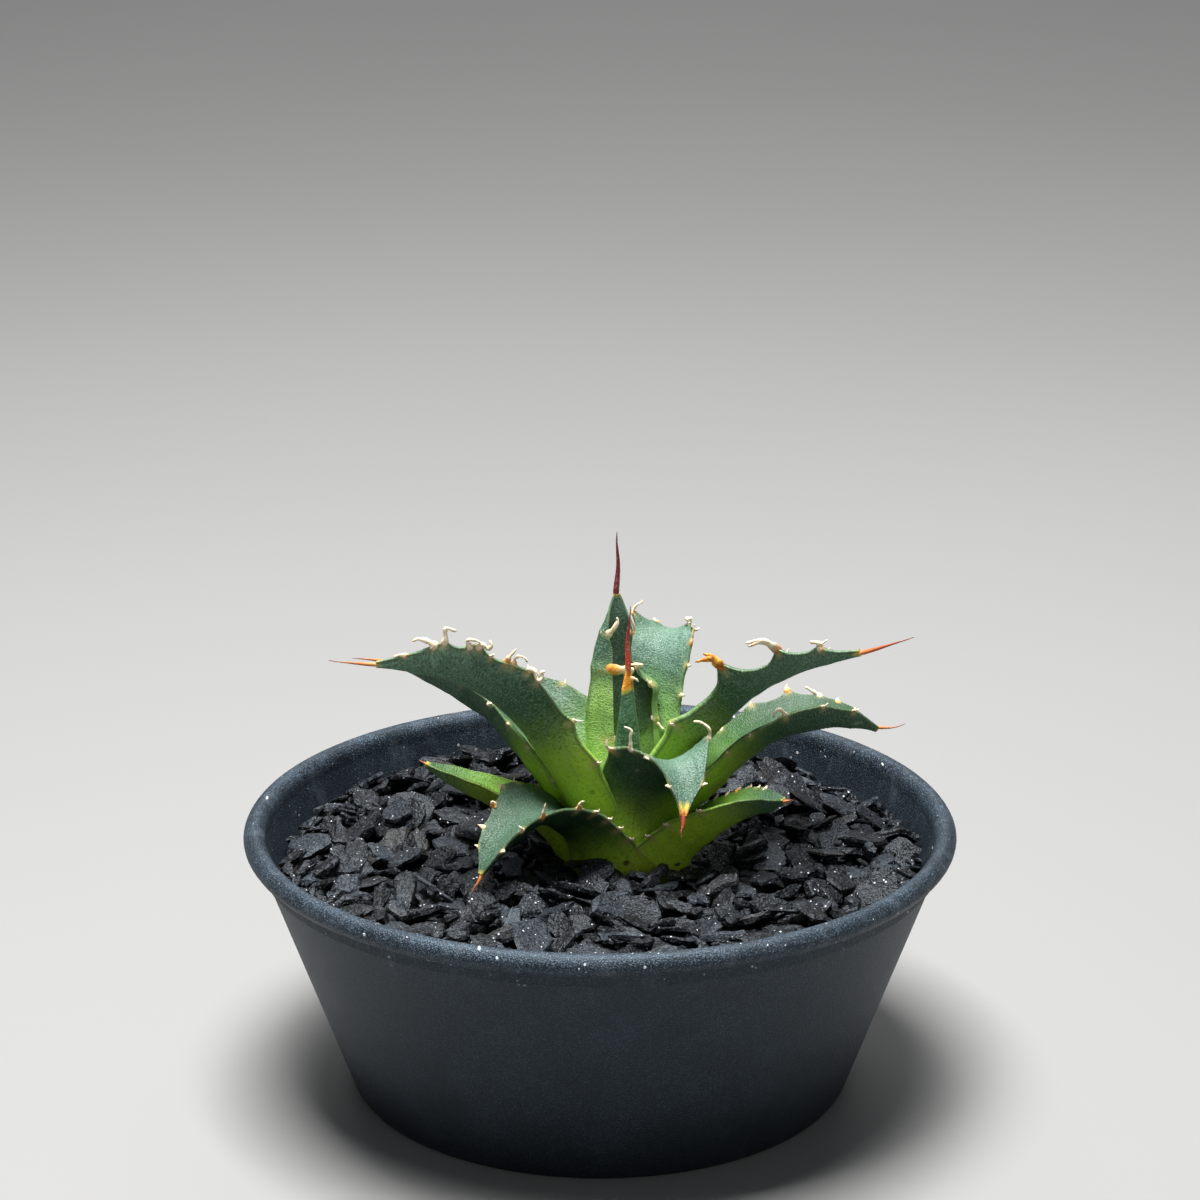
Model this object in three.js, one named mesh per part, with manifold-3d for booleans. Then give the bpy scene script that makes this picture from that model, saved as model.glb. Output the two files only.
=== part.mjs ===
// Potted Utah agave: a rosette of twelve toothed leaves in a round, shallow plastic pan, standing in
// soil under a layer of dark stone chips. Millimetres, +Z up, origin at the centre of the pan's foot.
import * as THREE from 'three';
import { mergeVertices } from 'three/addons/utils/BufferGeometryUtils.js';
import Module from 'manifold-3d';

const wasm = await Module();
wasm.setup();

// Gap kept between pieces that touch
const GAP = 0.3;

// Pan
const RIM_RADIUS = 75;
const RIM_HEIGHT = 58;
const BEAD_WIDTH = 4.6;
const BEAD_ARC = [-60, 0, 45, 90, 135, 180];
const WALL = 1.8;
const WALL_TOP = { radius: 71.8, height: 52.6 };
const WALL_FOOT = { radius: 53.4, height: 1.4 };
const FOOT_RADIUS = 52.5;
const FOOT_WIDTH = 4;
const FOOT_HEIGHT = 1.6;
const FOOT_CHAMFER = 0.6;
const FLOOR = 2.2;
const FLOOR_CORNER = 1.2;
const PAN_SEGMENTS = 56;
const DRAIN_RADIUS = 4;
const DRAIN_CIRCLE = 32;
const DRAIN_COUNT = 6;
const DRAIN_SIDES = 16;

// Filling
const SOIL_TOP = 40;
const CHIP_BED_TOP = 48;
const CHIP_LEVEL = 50;
const CHIP_COUNT = 115;
const CHIP_RADIUS = [5.6, 8.6];
const CHIP_CORNER_REACH = [0.75, 1.1];
const CHIP_STRETCH = [0.5, 0.8];
const CHIP_UPPER_FACE = [0.72, 0.86];
const CHIP_THICKNESS = [3.2, 4.4];
const CHIP_TILT = 0.4;
const CHIP_SHIFT = 1;
const CHIP_LIFT = [-0.8, 1.2];
const CHIP_MARGIN = 3;
const CHIP_SEED = 7;

// Stem and roots. The stem's outline is in shares of its radius and height, a root's path in shares of
// its length.
const PLANT_X = 6;
const STEM_RADIUS = 7;
const STEM_DEPTH = 16;
const STEM_CROWN = 5;
const STEM_OUTLINE = [[0.45, 0], [1, 0.3], [1, 0.76], [0.8, 0.9], [0.4, 1]];
const STEM_SIDES = 16;
const ROOT_COUNT = 5;
const ROOT_LENGTH = 24;
const ROOT_RADIUS = 1.9;
const ROOT_TAPER = 1 / 3;
const ROOT_START = { out: 2, up: 4 };
const ROOT_BEND = { out: 0.5, down: 0.2 };
const ROOT_END = { out: 0.8, down: 0.75, unevenness: 0.15 };
const ROOT_SIDES = 5;
const ROOT_STEPS = 5;
const ROOT_TURN = 0.4;

// Blade. Its margins rise and its belly thins by these powers of the distance from the midrib.
const MARGIN_THICKNESS = 0.7;
const TIP_THICKNESS = 1.8;
const TIP_GUTTER = 0.1;
const TIP_SHARE = 0.1;
const GUTTER_POWER = 1.7;
const BELLY_POWER = 2.2;
const BLADE_CELLS = 4;
const BLADE_RINGS = 8;
const RING_SPACING = 0.045;

// Teeth and end spines. A tooth's root is sunk in the margin by this much inward and down.
const SWELLING_LENGTH = 0.03;
const TOOTH_SUNK = { inward: 1.6, down: 0.4 };
const TOOTH_BEND = { out: 0.8, clear: 0.4, up: 0.4, along: 0.2 };
const TOOTH_ROOT = 0.85;
const TOOTH_TIP = 0.3;
const TOOTH_SIDES = 4;
const LONG_TOOTH = 4;
const LONG_TOOTH_STEPS = 3;
const SPINE_SIDES = 6;
const SPINE_TIP = 0.22;
const SPINE_TAPER = 0.8;
const LONG_SPINE = 6;

// The leaves, youngest first. line: the midrib as curve control points [out, up, sideways] from the
// plant's base, in the vertical plane at the azimuth. halfWidth: at the base, the widest place and
// the tip. widestAt: where along the leaf that place is. taper: the power that the width falls off by
// toward the tip. gutter: how far the margins stand up, as a share of the half width, at base and tip.
// thickness: of the middle, at base and tip. twist: degrees about the midrib, at base and tip.
// spine: the end spine's length and radius, and how far its point stands up and to the side.
// teeth: [where along the leaf, side, swelling of the margin under it, then how far its point reaches
// out, along and up].
const LEAVES = [
  {
    azimuth: 242, line: [[0, 5, 0], [0, 18, 0], [0, 30, 0], [0, 41, 0]],
    halfWidth: [3, 3, 1.1], widestAt: 0.2, taper: 1, gutter: [0, 0], thickness: [5, 2.6], twist: [0, 0],
    spine: { length: 13.5, radius: 0.95, lift: 0.5, lean: 0.3 },
    teeth: [],
  },
  {
    azimuth: 100, line: [[2.5, 4, 0], [7, 16, 0], [8.5, 32, 0], [8.5, 44, 1.3], [8, 54.5, 1]],
    halfWidth: [7, 8.2, 1], widestAt: 0.4, taper: 0.75, gutter: [0.75, 0.85], thickness: [4.5, 2.2],
    twist: [0, 0], spine: { length: 13.5, radius: 1, lift: -0.5, lean: 0.3 },
    teeth: [
      [0.36, 1, 0.6, 0.8, -1, 1], [0.66, 1, 1.3, -2.6, -0.4, 2], [0.83, 1, 0.7, -1.2, 3.6, 1],
      [0.46, -1, 0.8, 1.4, -1.4, 0.8], [0.57, -1, 1.6, -0.6, 0.8, 1.6], [0.67, -1, 0.6, -2.2, 1.2, 2],
      [0.82, -1, 0.4, -0.6, 4.4, 0.8],
    ],
  },
  {
    azimuth: -18, line: [[2, 6, 0], [14, 22, 0], [22, 37, 0], [36, 45.5, 0], [49, 50, 0]],
    halfWidth: [8, 9.6, 1.1], widestAt: 0.4, taper: 0.85, gutter: [0.6, 0.35], thickness: [5, 1.9],
    twist: [0, -26], spine: { length: 12.5, radius: 0.9, lift: 1.6, lean: 0 },
    teeth: [
      [0.34, -1, 0.6, 1, 0.3, 0.6], [0.54, -1, 3, 1.6, -3.6, 1.6], [0.71, -1, 1.8, 1.4, -4.6, 1.4],
      [0.87, -1, 0.8, 1.1, 1.2, 0.8], [0.34, 1, 0.6, 1, 0.3, 0.6], [0.52, 1, 2, 1.6, 1, 1.5],
      [0.69, 1, 1.5, 1.5, 1.5, 1.2], [0.85, 1, 0.8, 1.1, 1.2, 0.8],
    ],
  },
  {
    azimuth: 202, line: [[2, 5, 0], [14, 20, 0], [23, 39, 0], [38, 48.5, 0], [54, 49.5, 0]],
    halfWidth: [8.5, 10, 1.1], widestAt: 0.5, taper: 1.2, gutter: [0.45, 0.6], thickness: [5, 2.6],
    twist: [-14, 36], spine: { length: 10.5, radius: 0.9, lift: -0.8, lean: 0 },
    teeth: [
      [0.27, 1, 0.5, 1.1, 0.3, 0.8], [0.4, 1, 1, 1.4, -1, 1.2], [0.55, 1, 1.8, 1.6, 2, 2.2],
      [0.64, 1, 1.4, 1.2, 1, 3.2], [0.73, 1, 1.7, 1.2, 2.6, 2.4], [0.82, 1, 1.9, 1, -0.4, 3],
      [0.89, 1, 0.7, 1.1, 3, 0.8], [0.35, -1, 0.8, 1.2, 0.5, 1], [0.5, -1, 1.2, 1.6, 1, 1.5],
      [0.64, -1, 1.4, 1.6, 1.5, 1.8], [0.77, -1, 1.2, 1.5, 2, 1.5],
    ],
  },
  {
    azimuth: 63, line: [[3, 5, 0], [7, 20, -1], [10, 34, -1.5], [12, 57, -2], [22, 43, 0], [31, 36, 3.5]],
    halfWidth: [7, 7.8, 1], widestAt: 0.5, taper: 1.1, gutter: [0.25, 0.6], thickness: [4, 2.2],
    twist: [0, 0], spine: { length: 8, radius: 0.9, lift: 3.5, lean: 0 },
    teeth: [
      [0.385, -1, 0.5, 1, 0.3, 0.6], [0.48, -1, 0.5, 1, 0.3, 0.6], [0.565, -1, 0.6, 0.8, 1.8, 0.8],
      [0.68, -1, 1.8, 0.6, 0.6, 1.6], [0.385, 1, 0.5, 1, 0.3, 0.6], [0.48, 1, 0.6, 1, 0.4, 0.6],
      [0.68, 1, 2, -1, 2.4, 2.4], [0.84, -1, 0.6, 1, 0.8, 1], [0.84, 1, 0.6, 1, 0.8, 1],
    ],
  },
  {
    azimuth: -68, line: [[5, 2, 0], [9, 14, 0], [11, 28, 2], [20, 32.5, 5], [27, 17.5, 1]],
    halfWidth: [8, 10.4, 1], widestAt: 0.5, taper: 0.95, gutter: [0.35, 0.5], thickness: [4.5, 2.4],
    twist: [0, 3], spine: { length: 5, radius: 1, lift: 0, lean: 0 },
    teeth: [
      [0.53, -1, 1.1, 1.2, 1.6, 1.6], [0.64, -1, 1, -0.5, -1, 4.2], [0.74, -1, 0.6, 0.8, 0.2, 0.8],
      [0.5, 1, 1.2, 0.8, -1.4, 3.8], [0.68, 1, 1, -1.4, -1.4, 3.4], [0.89, 1, 0.4, 0.9, 0.2, 0.5],
    ],
  },
  {
    azimuth: 142, line: [[4, 3, 0], [14, 12, 0], [26, 24, -1], [42, 31, 1.5], [60, 32, 6]],
    halfWidth: [8.5, 12, 1], widestAt: 0.45, taper: 1.15, gutter: [0.5, 0.6], thickness: [6, 3],
    twist: [2, 4], spine: { length: 8, radius: 0.9, lift: 0, lean: 0 },
    teeth: [
      [0.23, 1, 0.5, 1, 0.3, 0.6], [0.37, 1, 0.6, 1, 0.3, 0.6], [0.48, 1, 0.6, 1, 0.3, 0.6],
      [0.59, 1, 0.9, 1.4, -0.8, 1.4], [0.73, 1, 0.7, 1.3, 1, 1], [0.4, -1, 0.5, 1, 0.3, 0.6],
      [0.53, -1, 0.5, 1.1, 0.4, 0.9], [0.64, -1, 0.6, 1.3, 0.8, 1], [0.78, -1, 0.6, 1.2, 1, 0.8],
    ],
  },
  {
    azimuth: 10, line: [[4, 4, 0], [16, 16, 0], [28, 30.5, 0], [43, 31.5, 0], [54, 24.5, 0]],
    halfWidth: [7.5, 8.4, 1], widestAt: 0.5, taper: 1.3, gutter: [0.3, 0.5], thickness: [4.5, 2.4],
    twist: [-7, -10], spine: { length: 5, radius: 0.75, lift: 4, lean: 0 },
    teeth: [
      [0.27, -1, 0.4, 0.9, 0.3, 0.6], [0.36, -1, 0.4, 0.9, 0.3, 0.6], [0.45, -1, 0.4, 0.9, 0.3, 0.7],
      [0.58, -1, 0.9, 0.4, 0.5, 2.8], [0.72, -1, 0.7, 1.1, 1, 0.8], [0.85, -1, 0.5, 0.9, 0.8, 0.6],
      [0.38, 1, 0.6, 1, 0.3, 0.8], [0.51, 1, 0.8, 1.1, 0.4, 0.8], [0.65, 1, 2.2, 0.9, 0.6, 1.1],
      [0.76, 1, 1, 1, -2.2, 1.3], [0.86, 1, 0.5, 0.9, 0.4, 0.6],
    ],
  },
  {
    azimuth: 222, line: [[4, -3, 0], [12, 8, 0], [22, 24, 0], [34, 16, 0], [41, 6, 0]],
    halfWidth: [8.5, 9, 1], widestAt: 0.45, taper: 1.2, gutter: [0.3, 0.4], thickness: [4.5, 2.4],
    twist: [0, 0], spine: { length: 5, radius: 0.9, lift: 0.3, lean: 0 },
    teeth: [
      [0.25, 1, 0.4, 0.9, 0.2, 0.7], [0.34, 1, 0.4, 0.9, 0.2, 0.7], [0.42, 1, 0.5, 1, 0.3, 0.8],
      [0.51, 1, 0.8, 1.2, -1.8, 1.6], [0.67, 1, 0.9, 0.6, 0.6, 3.4], [0.77, 1, 0.8, 1.1, 0.5, 1.3],
      [0.88, 1, 0.5, 0.9, 0.5, 0.8], [0.52, -1, 0.5, 0.8, 0.2, 1.3], [0.6, -1, 0.5, 0.8, 0.2, 1.3],
      [0.71, -1, 0.9, 1.5, 0.4, 1], [0.82, -1, 0.6, 1, 0.3, 0.7], [0.9, -1, 0.4, 0.8, 0.3, 0.5],
    ],
  },
  {
    azimuth: 93, line: [[4, -3, 0], [14, 7, 0], [24, 12, 0], [34, 14, 0], [42, 14, 0]],
    halfWidth: [7.5, 7.5, 1], widestAt: 0.4, taper: 1.3, gutter: [0.35, 0.4], thickness: [4.5, 2.4],
    twist: [0, 0], spine: { length: 3, radius: 0.9, lift: 0.3, lean: 0 },
    teeth: [
      [0.35, 1, 0.5, 1, 0.3, 0.7], [0.53, 1, 0.6, 1.1, 0.4, 0.8], [0.7, 1, 0.5, 1, 0.4, 0.7],
      [0.42, -1, 0.5, 1, 0.3, 0.7], [0.6, -1, 0.6, 1.1, 0.4, 0.8], [0.78, -1, 0.5, 0.9, 0.4, 0.6],
    ],
  },
  {
    azimuth: -35, line: [[4, -3, 0], [14, 9, 0], [21, 18, 0], [30, 20, 0], [38.5, 20.3, 0]],
    halfWidth: [8.5, 8, 1], widestAt: 0.33, taper: 1.1, gutter: [0.45, 0.5], thickness: [4.5, 2.4],
    twist: [0, 0], spine: { length: 2, radius: 0.8, lift: 0.3, lean: 0 },
    teeth: [
      [0.4, 1, 0.5, 1.1, 0.4, 0.8], [0.49, 1, 0.5, 1.1, 0.4, 0.8], [0.57, 1, 0.5, 1.1, 0.4, 0.8],
      [0.66, 1, 0.5, 1, 0.4, 0.7], [0.79, 1, 0.4, 0.9, 0.3, 0.5], [0.25, -1, 0.4, 0.9, 0.2, 0.8],
      [0.36, -1, 0.4, 0.9, 0.2, 0.8], [0.54, -1, 0.4, 0.8, 0.2, 0.6],
    ],
  },
  {
    azimuth: 178, line: [[4, -3, 0], [14, 6, 0], [22, 11, 0], [32, 14, 0], [42.5, 19.5, 0]],
    halfWidth: [7.5, 6.6, 1], widestAt: 0.4, taper: 1.1, gutter: [0.4, 0.5], thickness: [4.2, 2.2],
    twist: [0, 0], spine: { length: 1.6, radius: 0.7, lift: 0.3, lean: 0 },
    teeth: [
      [0.25, 1, 0.4, 0.9, 0.2, 0.8], [0.36, 1, 0.4, 0.9, 0.2, 0.8], [0.5, 1, 0.4, 0.8, 0.2, 0.6],
      [0.3, -1, 0.4, 0.9, 0.2, 0.7], [0.45, -1, 0.4, 0.9, 0.2, 0.7],
    ],
  },
];

// Solids and meshes

function toSolid(geometry) {
  const bare = geometry.clone();
  bare.deleteAttribute('normal');
  bare.deleteAttribute('uv');
  const merged = mergeVertices(bare, 1e-4);
  return new wasm.Manifold(new wasm.Mesh({
    numProp: 3,
    vertProperties: new Float32Array(merged.attributes.position.array),
    triVerts: new Uint32Array(merged.index.array),
  }));
}

function toGeometry(solid) {
  const mesh = solid.getMesh();
  const geometry = new THREE.BufferGeometry();
  geometry.setAttribute('position', new THREE.BufferAttribute(mesh.vertProperties, 3));
  geometry.setIndex(new THREE.BufferAttribute(mesh.triVerts, 1));
  geometry.computeVertexNormals();
  return geometry;
}

// The largest body of a solid: what a cut leaves loose is dropped.
function largestBody(solid) {
  const bodies = solid.decompose();
  return bodies.reduce((best, body) => (body.volume() > best.volume() ? body : best));
}

function latheSolid(profile, segments) {
  const points = profile.map(([radius, height]) => new THREE.Vector2(radius, height));
  const geometry = new THREE.LatheGeometry(points, segments);
  geometry.rotateX(Math.PI / 2);
  return toSolid(geometry);
}

// A closed body through rings of equal, even length. Each ring runs along the upper side and back
// along the lower side. Cells that lie over each other are split along the same diagonal, so that a
// thin waved blade never crosses itself.
function loftSolid(rings) {
  const size = rings[0].length;
  const half = size / 2;
  const positions = rings.flat().flatMap((point) => point.toArray());
  const triangles = [];
  for (let i = 0; i + 1 < rings.length; i += 1) {
    for (let j = 0; j < size; j += 1) {
      const next = (j + 1) % size;
      const a = i * size + j;
      const b = i * size + next;
      const c = (i + 1) * size + next;
      const d = (i + 1) * size + j;
      triangles.push(...(j < half - 1 ? [a, c, b, a, d, c] : [a, d, b, b, d, c]));
    }
  }
  const last = (rings.length - 1) * size;
  for (let j = 0; j < half - 1; j += 1) {
    const under = size - 1 - j;
    triangles.push(j, j + 1, under, j + 1, under - 1, under);
    triangles.push(last + j, last + under, last + j + 1, last + j + 1, last + under, last + under - 1);
  }
  const geometry = new THREE.BufferGeometry();
  geometry.setAttribute('position', new THREE.Float32BufferAttribute(positions, 3));
  geometry.setIndex(triangles);
  return toSolid(geometry);
}

// A tapered rod along a curve, as rings of a few sides, made longer at both ends by extra.
function rodSolid(curve, radiusAt, sides, steps, extra = 0) {
  const rings = [];
  const start = curve.getTangent(0);
  const level = Math.abs(start.z) < 0.9 ? new THREE.Vector3(0, 0, 1) : new THREE.Vector3(1, 0, 0);
  const across = new THREE.Vector3().crossVectors(level, start);
  for (let i = 0; i <= steps; i += 1) {
    const t = i / steps;
    const centre = curve.getPoint(t);
    const along = curve.getTangent(t);
    across.addScaledVector(along, -across.dot(along)).normalize();
    centre.addScaledVector(along, i === steps ? extra : (i === 0 ? -extra : 0));
    const up = new THREE.Vector3().crossVectors(along, across);
    const ring = [];
    for (let k = 0; k < sides; k += 1) {
      const angle = (-2 * Math.PI * k) / sides;
      const radius = radiusAt(t);
      const point = centre.clone();
      point.addScaledVector(across, radius * Math.cos(angle));
      point.addScaledVector(up, radius * Math.sin(angle));
      ring.push(point);
    }
    rings.push(ring);
  }
  return loftSolid(rings);
}

function makeRandom(seed) {
  let state = seed;
  return () => {
    state = (state * 1664525 + 1013904223) % 4294967296;
    return state / 4294967296;
  };
}

function mix(from, to, share) {
  return from + (to - from) * share;
}

// Leaves

function curvePoint(points, t) {
  let row = points.map((point) => new THREE.Vector3(...point));
  while (row.length > 1) {
    row = row.slice(1).map((point, i) => row[i].clone().lerp(point, t));
  }
  return row[0];
}

// The place of the midrib and the directions along, across (side) and out of (face) the blade.
function leafFrame(leaf, t) {
  const azimuth = THREE.MathUtils.degToRad(leaf.azimuth);
  const out = new THREE.Vector3(Math.cos(azimuth), Math.sin(azimuth), 0);
  const sideways = new THREE.Vector3(-Math.sin(azimuth), Math.cos(azimuth), 0);
  const toWorld = ({ x, y, z }) => new THREE.Vector3(0, 0, y)
    .addScaledVector(out, x)
    .addScaledVector(sideways, z);
  const step = 0.001;
  const ahead = curvePoint(leaf.line, Math.min(t + step, 1));
  const behind = curvePoint(leaf.line, Math.max(t - step, 0));
  const along = toWorld(ahead.sub(behind)).normalize();
  const level = sideways.clone().addScaledVector(along, -along.dot(sideways)).normalize();
  const upright = new THREE.Vector3().crossVectors(along, level);
  const twist = THREE.MathUtils.degToRad(mix(leaf.twist[0], leaf.twist[1], t));
  const side = level.clone().multiplyScalar(Math.cos(twist)).addScaledVector(upright, Math.sin(twist));
  const face = upright.clone().multiplyScalar(Math.cos(twist)).addScaledVector(level, -Math.sin(twist));
  const centre = toWorld(curvePoint(leaf.line, t)).add(new THREE.Vector3(PLANT_X, 0, CHIP_LEVEL));
  return { centre, along, side, face };
}

// Half the blade's width toward one side, with the swellings that carry the teeth.
function halfWidthAt(leaf, t, side) {
  const [base, widest, tip] = leaf.halfWidth;
  const above = Math.max((t - leaf.widestAt) / (1 - leaf.widestAt), 0);
  const below = Math.max((leaf.widestAt - t) / leaf.widestAt, 0);
  const width = t > leaf.widestAt
    ? tip + (widest - tip) * (1 - above ** leaf.taper)
    : widest - (widest - base) * below ** 2;
  const swelling = leaf.teeth
    .filter((tooth) => tooth[1] === side)
    .reduce((sum, [where, , height]) => (
      sum + height * Math.exp(-(((t - where) / SWELLING_LENGTH) ** 2))
    ), 0);
  return width + swelling;
}

// An outline in a plane, made larger by an even distance on all its sides.
function growOutline(outline, grow) {
  const count = outline.length;
  return outline.map((point, i) => {
    const before = outline[(i + count - 1) % count];
    const after = outline[(i + 1) % count];
    const [first, second] = [point.clone().sub(before), after.clone().sub(point)].map(
      (edge) => new THREE.Vector2(-edge.y, edge.x).normalize(),
    );
    return point.clone().addScaledVector(first.clone().add(second), grow / (1 + first.dot(second)));
  });
}

// One cross-section: the hollow upper face from side to side, then the rounded under side back.
function bladeSection(leaf, t, grow) {
  const { centre, along, side, face } = leafFrame(leaf, t);
  const toTip = Math.max((t - 1 + TIP_SHARE) / TIP_SHARE, 0);
  const gutter = mix(mix(leaf.gutter[0], leaf.gutter[1], t), TIP_GUTTER, toTip);
  const thickness = mix(mix(leaf.thickness[0], leaf.thickness[1], t), TIP_THICKNESS, toTip);
  const width = halfWidthAt(leaf, t, 0);
  const upper = [];
  const lower = [];
  for (let k = 0; k <= BLADE_CELLS; k += 1) {
    const share = (2 * k) / BLADE_CELLS - 1;
    const reach = halfWidthAt(leaf, t, Math.sign(share)) * share;
    const rise = gutter * width * Math.abs(share) ** GUTTER_POWER;
    const belly = 1 - Math.abs(share) ** BELLY_POWER;
    upper.push(new THREE.Vector2(reach, rise));
    lower.unshift(new THREE.Vector2(reach, rise - mix(MARGIN_THICKNESS, thickness, belly)));
  }
  const end = t === 0 ? -grow : (t === 1 ? grow : 0);
  return growOutline([...upper, ...lower], grow).map(({ x, y }) => centre.clone()
    .addScaledVector(side, x)
    .addScaledVector(face, y)
    .addScaledVector(along, end));
}

// Rings at even steps, at every tooth and halfway between teeth, so that the waved edge is true.
function bladeStations(leaf) {
  const teeth = [...new Set(leaf.teeth.map(([where]) => where))].sort((a, b) => a - b);
  const halfway = teeth.slice(1).map((where, i) => (where + teeth[i]) / 2);
  const even = Array.from({ length: BLADE_RINGS }, (_, i) => i / (BLADE_RINGS - 1));
  const stations = [];
  for (const where of [0, 1, ...teeth, ...even, ...halfway]) {
    const spacing = stations.length < 2 ? 0 : RING_SPACING;
    if (stations.every((other) => Math.abs(other - where) > spacing)) {
      stations.push(where);
    }
  }
  return stations.sort((a, b) => a - b);
}

function bladeSolid(leaf, grow) {
  return loftSolid(bladeStations(leaf).map((t) => bladeSection(leaf, t, grow)));
}

// A hooked tooth: its root is sunk in the margin, and it curls along the leaf and up.
function toothSolid(leaf, [where, sign, , out, alongReach, up], grow) {
  const { centre, along, side, face } = leafFrame(leaf, where);
  const outward = side.clone().multiplyScalar(sign);
  const width = halfWidthAt(leaf, where, 0);
  const gutter = mix(leaf.gutter[0], leaf.gutter[1], where);
  const edge = centre.clone()
    .addScaledVector(outward, halfWidthAt(leaf, where, sign))
    .addScaledVector(face, gutter * width - MARGIN_THICKNESS / 2);
  const root = edge.clone()
    .addScaledVector(outward, -TOOTH_SUNK.inward)
    .addScaledVector(face, -TOOTH_SUNK.down);
  const bend = edge.clone()
    .addScaledVector(outward, Math.abs(out) * TOOTH_BEND.out + TOOTH_BEND.clear)
    .addScaledVector(face, up * TOOTH_BEND.up)
    .addScaledVector(along, alongReach * TOOTH_BEND.along);
  const point = edge.clone()
    .addScaledVector(outward, out)
    .addScaledVector(face, up)
    .addScaledVector(along, alongReach);
  const long = root.distanceTo(point) > LONG_TOOTH;
  const curve = long
    ? new THREE.QuadraticBezierCurve3(root, bend, point)
    : new THREE.LineCurve3(root, point);
  const steps = long ? LONG_TOOTH_STEPS : 1;
  return rodSolid(curve, (t) => mix(TOOTH_ROOT, TOOTH_TIP, t) + grow, TOOTH_SIDES, steps, grow);
}

function leafSolid(leaf, grow) {
  return leaf.teeth.reduce(
    (solid, tooth) => solid.add(toothSolid(leaf, tooth, grow)),
    bladeSolid(leaf, grow),
  );
}

// The hard point that the leaf ends in, standing a gap off the leaf's flat tip. A spine that rises
// steeply has its foot tilted, and starts further out to keep the gap.
function spineSolid(leaf) {
  const { centre, along, side, face } = leafFrame(leaf, 1);
  const { length, radius, lift, lean } = leaf.spine;
  const tilt = (radius + SPINE_TIP) * Math.abs(lift) / (2 * length);
  const start = centre.clone()
    .addScaledVector(along, GAP + tilt)
    .addScaledVector(face, -TIP_THICKNESS / 2);
  const bend = start.clone().addScaledVector(along, length / 2).addScaledVector(face, lift / 4);
  const point = start.clone()
    .addScaledVector(along, length)
    .addScaledVector(face, lift)
    .addScaledVector(side, lean);
  const curve = new THREE.QuadraticBezierCurve3(start, bend, point);
  const steps = length > LONG_SPINE ? 5 : 3;
  return rodSolid(curve, (t) => radius * (1 - t) ** SPINE_TAPER + SPINE_TIP, SPINE_SIDES, steps);
}

// Stem and roots

function rootSolid(k, grow) {
  const angle = (2 * Math.PI * k) / ROOT_COUNT + ROOT_TURN;
  const out = new THREE.Vector3(Math.cos(angle), Math.sin(angle), 0);
  const start = new THREE.Vector3(PLANT_X, 0, CHIP_LEVEL - STEM_DEPTH + ROOT_START.up)
    .addScaledVector(out, ROOT_START.out);
  const bend = start.clone().addScaledVector(out, ROOT_LENGTH * ROOT_BEND.out);
  bend.z -= ROOT_LENGTH * ROOT_BEND.down;
  const end = start.clone().addScaledVector(out, ROOT_LENGTH * ROOT_END.out);
  end.z -= ROOT_LENGTH * (ROOT_END.down + ROOT_END.unevenness * Math.sin(3 * k));
  const curve = new THREE.QuadraticBezierCurve3(start, bend, end);
  const radiusAt = (t) => ROOT_RADIUS * mix(1, ROOT_TAPER, t) + grow;
  return rodSolid(curve, radiusAt, ROOT_SIDES, ROOT_STEPS, grow);
}

function stemSolid(grow) {
  const top = CHIP_LEVEL + STEM_CROWN + grow;
  const bottom = CHIP_LEVEL - STEM_DEPTH - grow;
  const outline = STEM_OUTLINE.map(([radius, height]) => [
    STEM_RADIUS * radius + grow,
    mix(bottom, top, height),
  ]);
  const body = latheSolid([[0, bottom], ...outline, [0, top]], STEM_SIDES).translate([PLANT_X, 0, 0]);
  const roots = Array.from({ length: ROOT_COUNT }, (_, k) => rootSolid(k, grow));
  return roots.reduce((solid, root) => solid.add(root), body);
}

// Pan and filling

// The inner face of the sloping wall, at a height.
function panInnerRadius(height) {
  const share = (height - WALL_FOOT.height) / (WALL_TOP.height - WALL_FOOT.height);
  return mix(WALL_FOOT.radius, WALL_TOP.radius, share) - WALL;
}

function panSolid() {
  const footIn = FOOT_RADIUS - FOOT_WIDTH;
  const floorTop = FOOT_HEIGHT + FLOOR;
  const bead = BEAD_WIDTH / 2;
  const beadArc = BEAD_ARC.map((degrees) => {
    const angle = THREE.MathUtils.degToRad(degrees);
    return [RIM_RADIUS - bead + bead * Math.cos(angle), RIM_HEIGHT - bead + bead * Math.sin(angle)];
  });
  const profile = [
    [0, FOOT_HEIGHT],
    [footIn - FOOT_CHAMFER, FOOT_HEIGHT],
    [footIn, 0],
    [FOOT_RADIUS, 0],
    [WALL_FOOT.radius, WALL_FOOT.height],
    [WALL_TOP.radius, WALL_TOP.height],
    ...beadArc,
    [panInnerRadius(RIM_HEIGHT - BEAD_WIDTH), RIM_HEIGHT - BEAD_WIDTH],
    [panInnerRadius(floorTop + FLOOR_CORNER), floorTop + FLOOR_CORNER],
    [panInnerRadius(floorTop) - FLOOR_CORNER, floorTop],
    [0, floorTop],
  ];
  let solid = latheSolid(profile, PAN_SEGMENTS);
  for (let k = 0; k < DRAIN_COUNT; k += 1) {
    const angle = (2 * Math.PI * k) / DRAIN_COUNT;
    const drain = new THREE.CylinderGeometry(DRAIN_RADIUS, DRAIN_RADIUS, 4 * FLOOR, DRAIN_SIDES);
    drain.rotateX(Math.PI / 2);
    drain.translate(DRAIN_CIRCLE * Math.cos(angle), DRAIN_CIRCLE * Math.sin(angle), FOOT_HEIGHT);
    solid = solid.subtract(toSolid(drain));
  }
  return solid;
}

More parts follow.
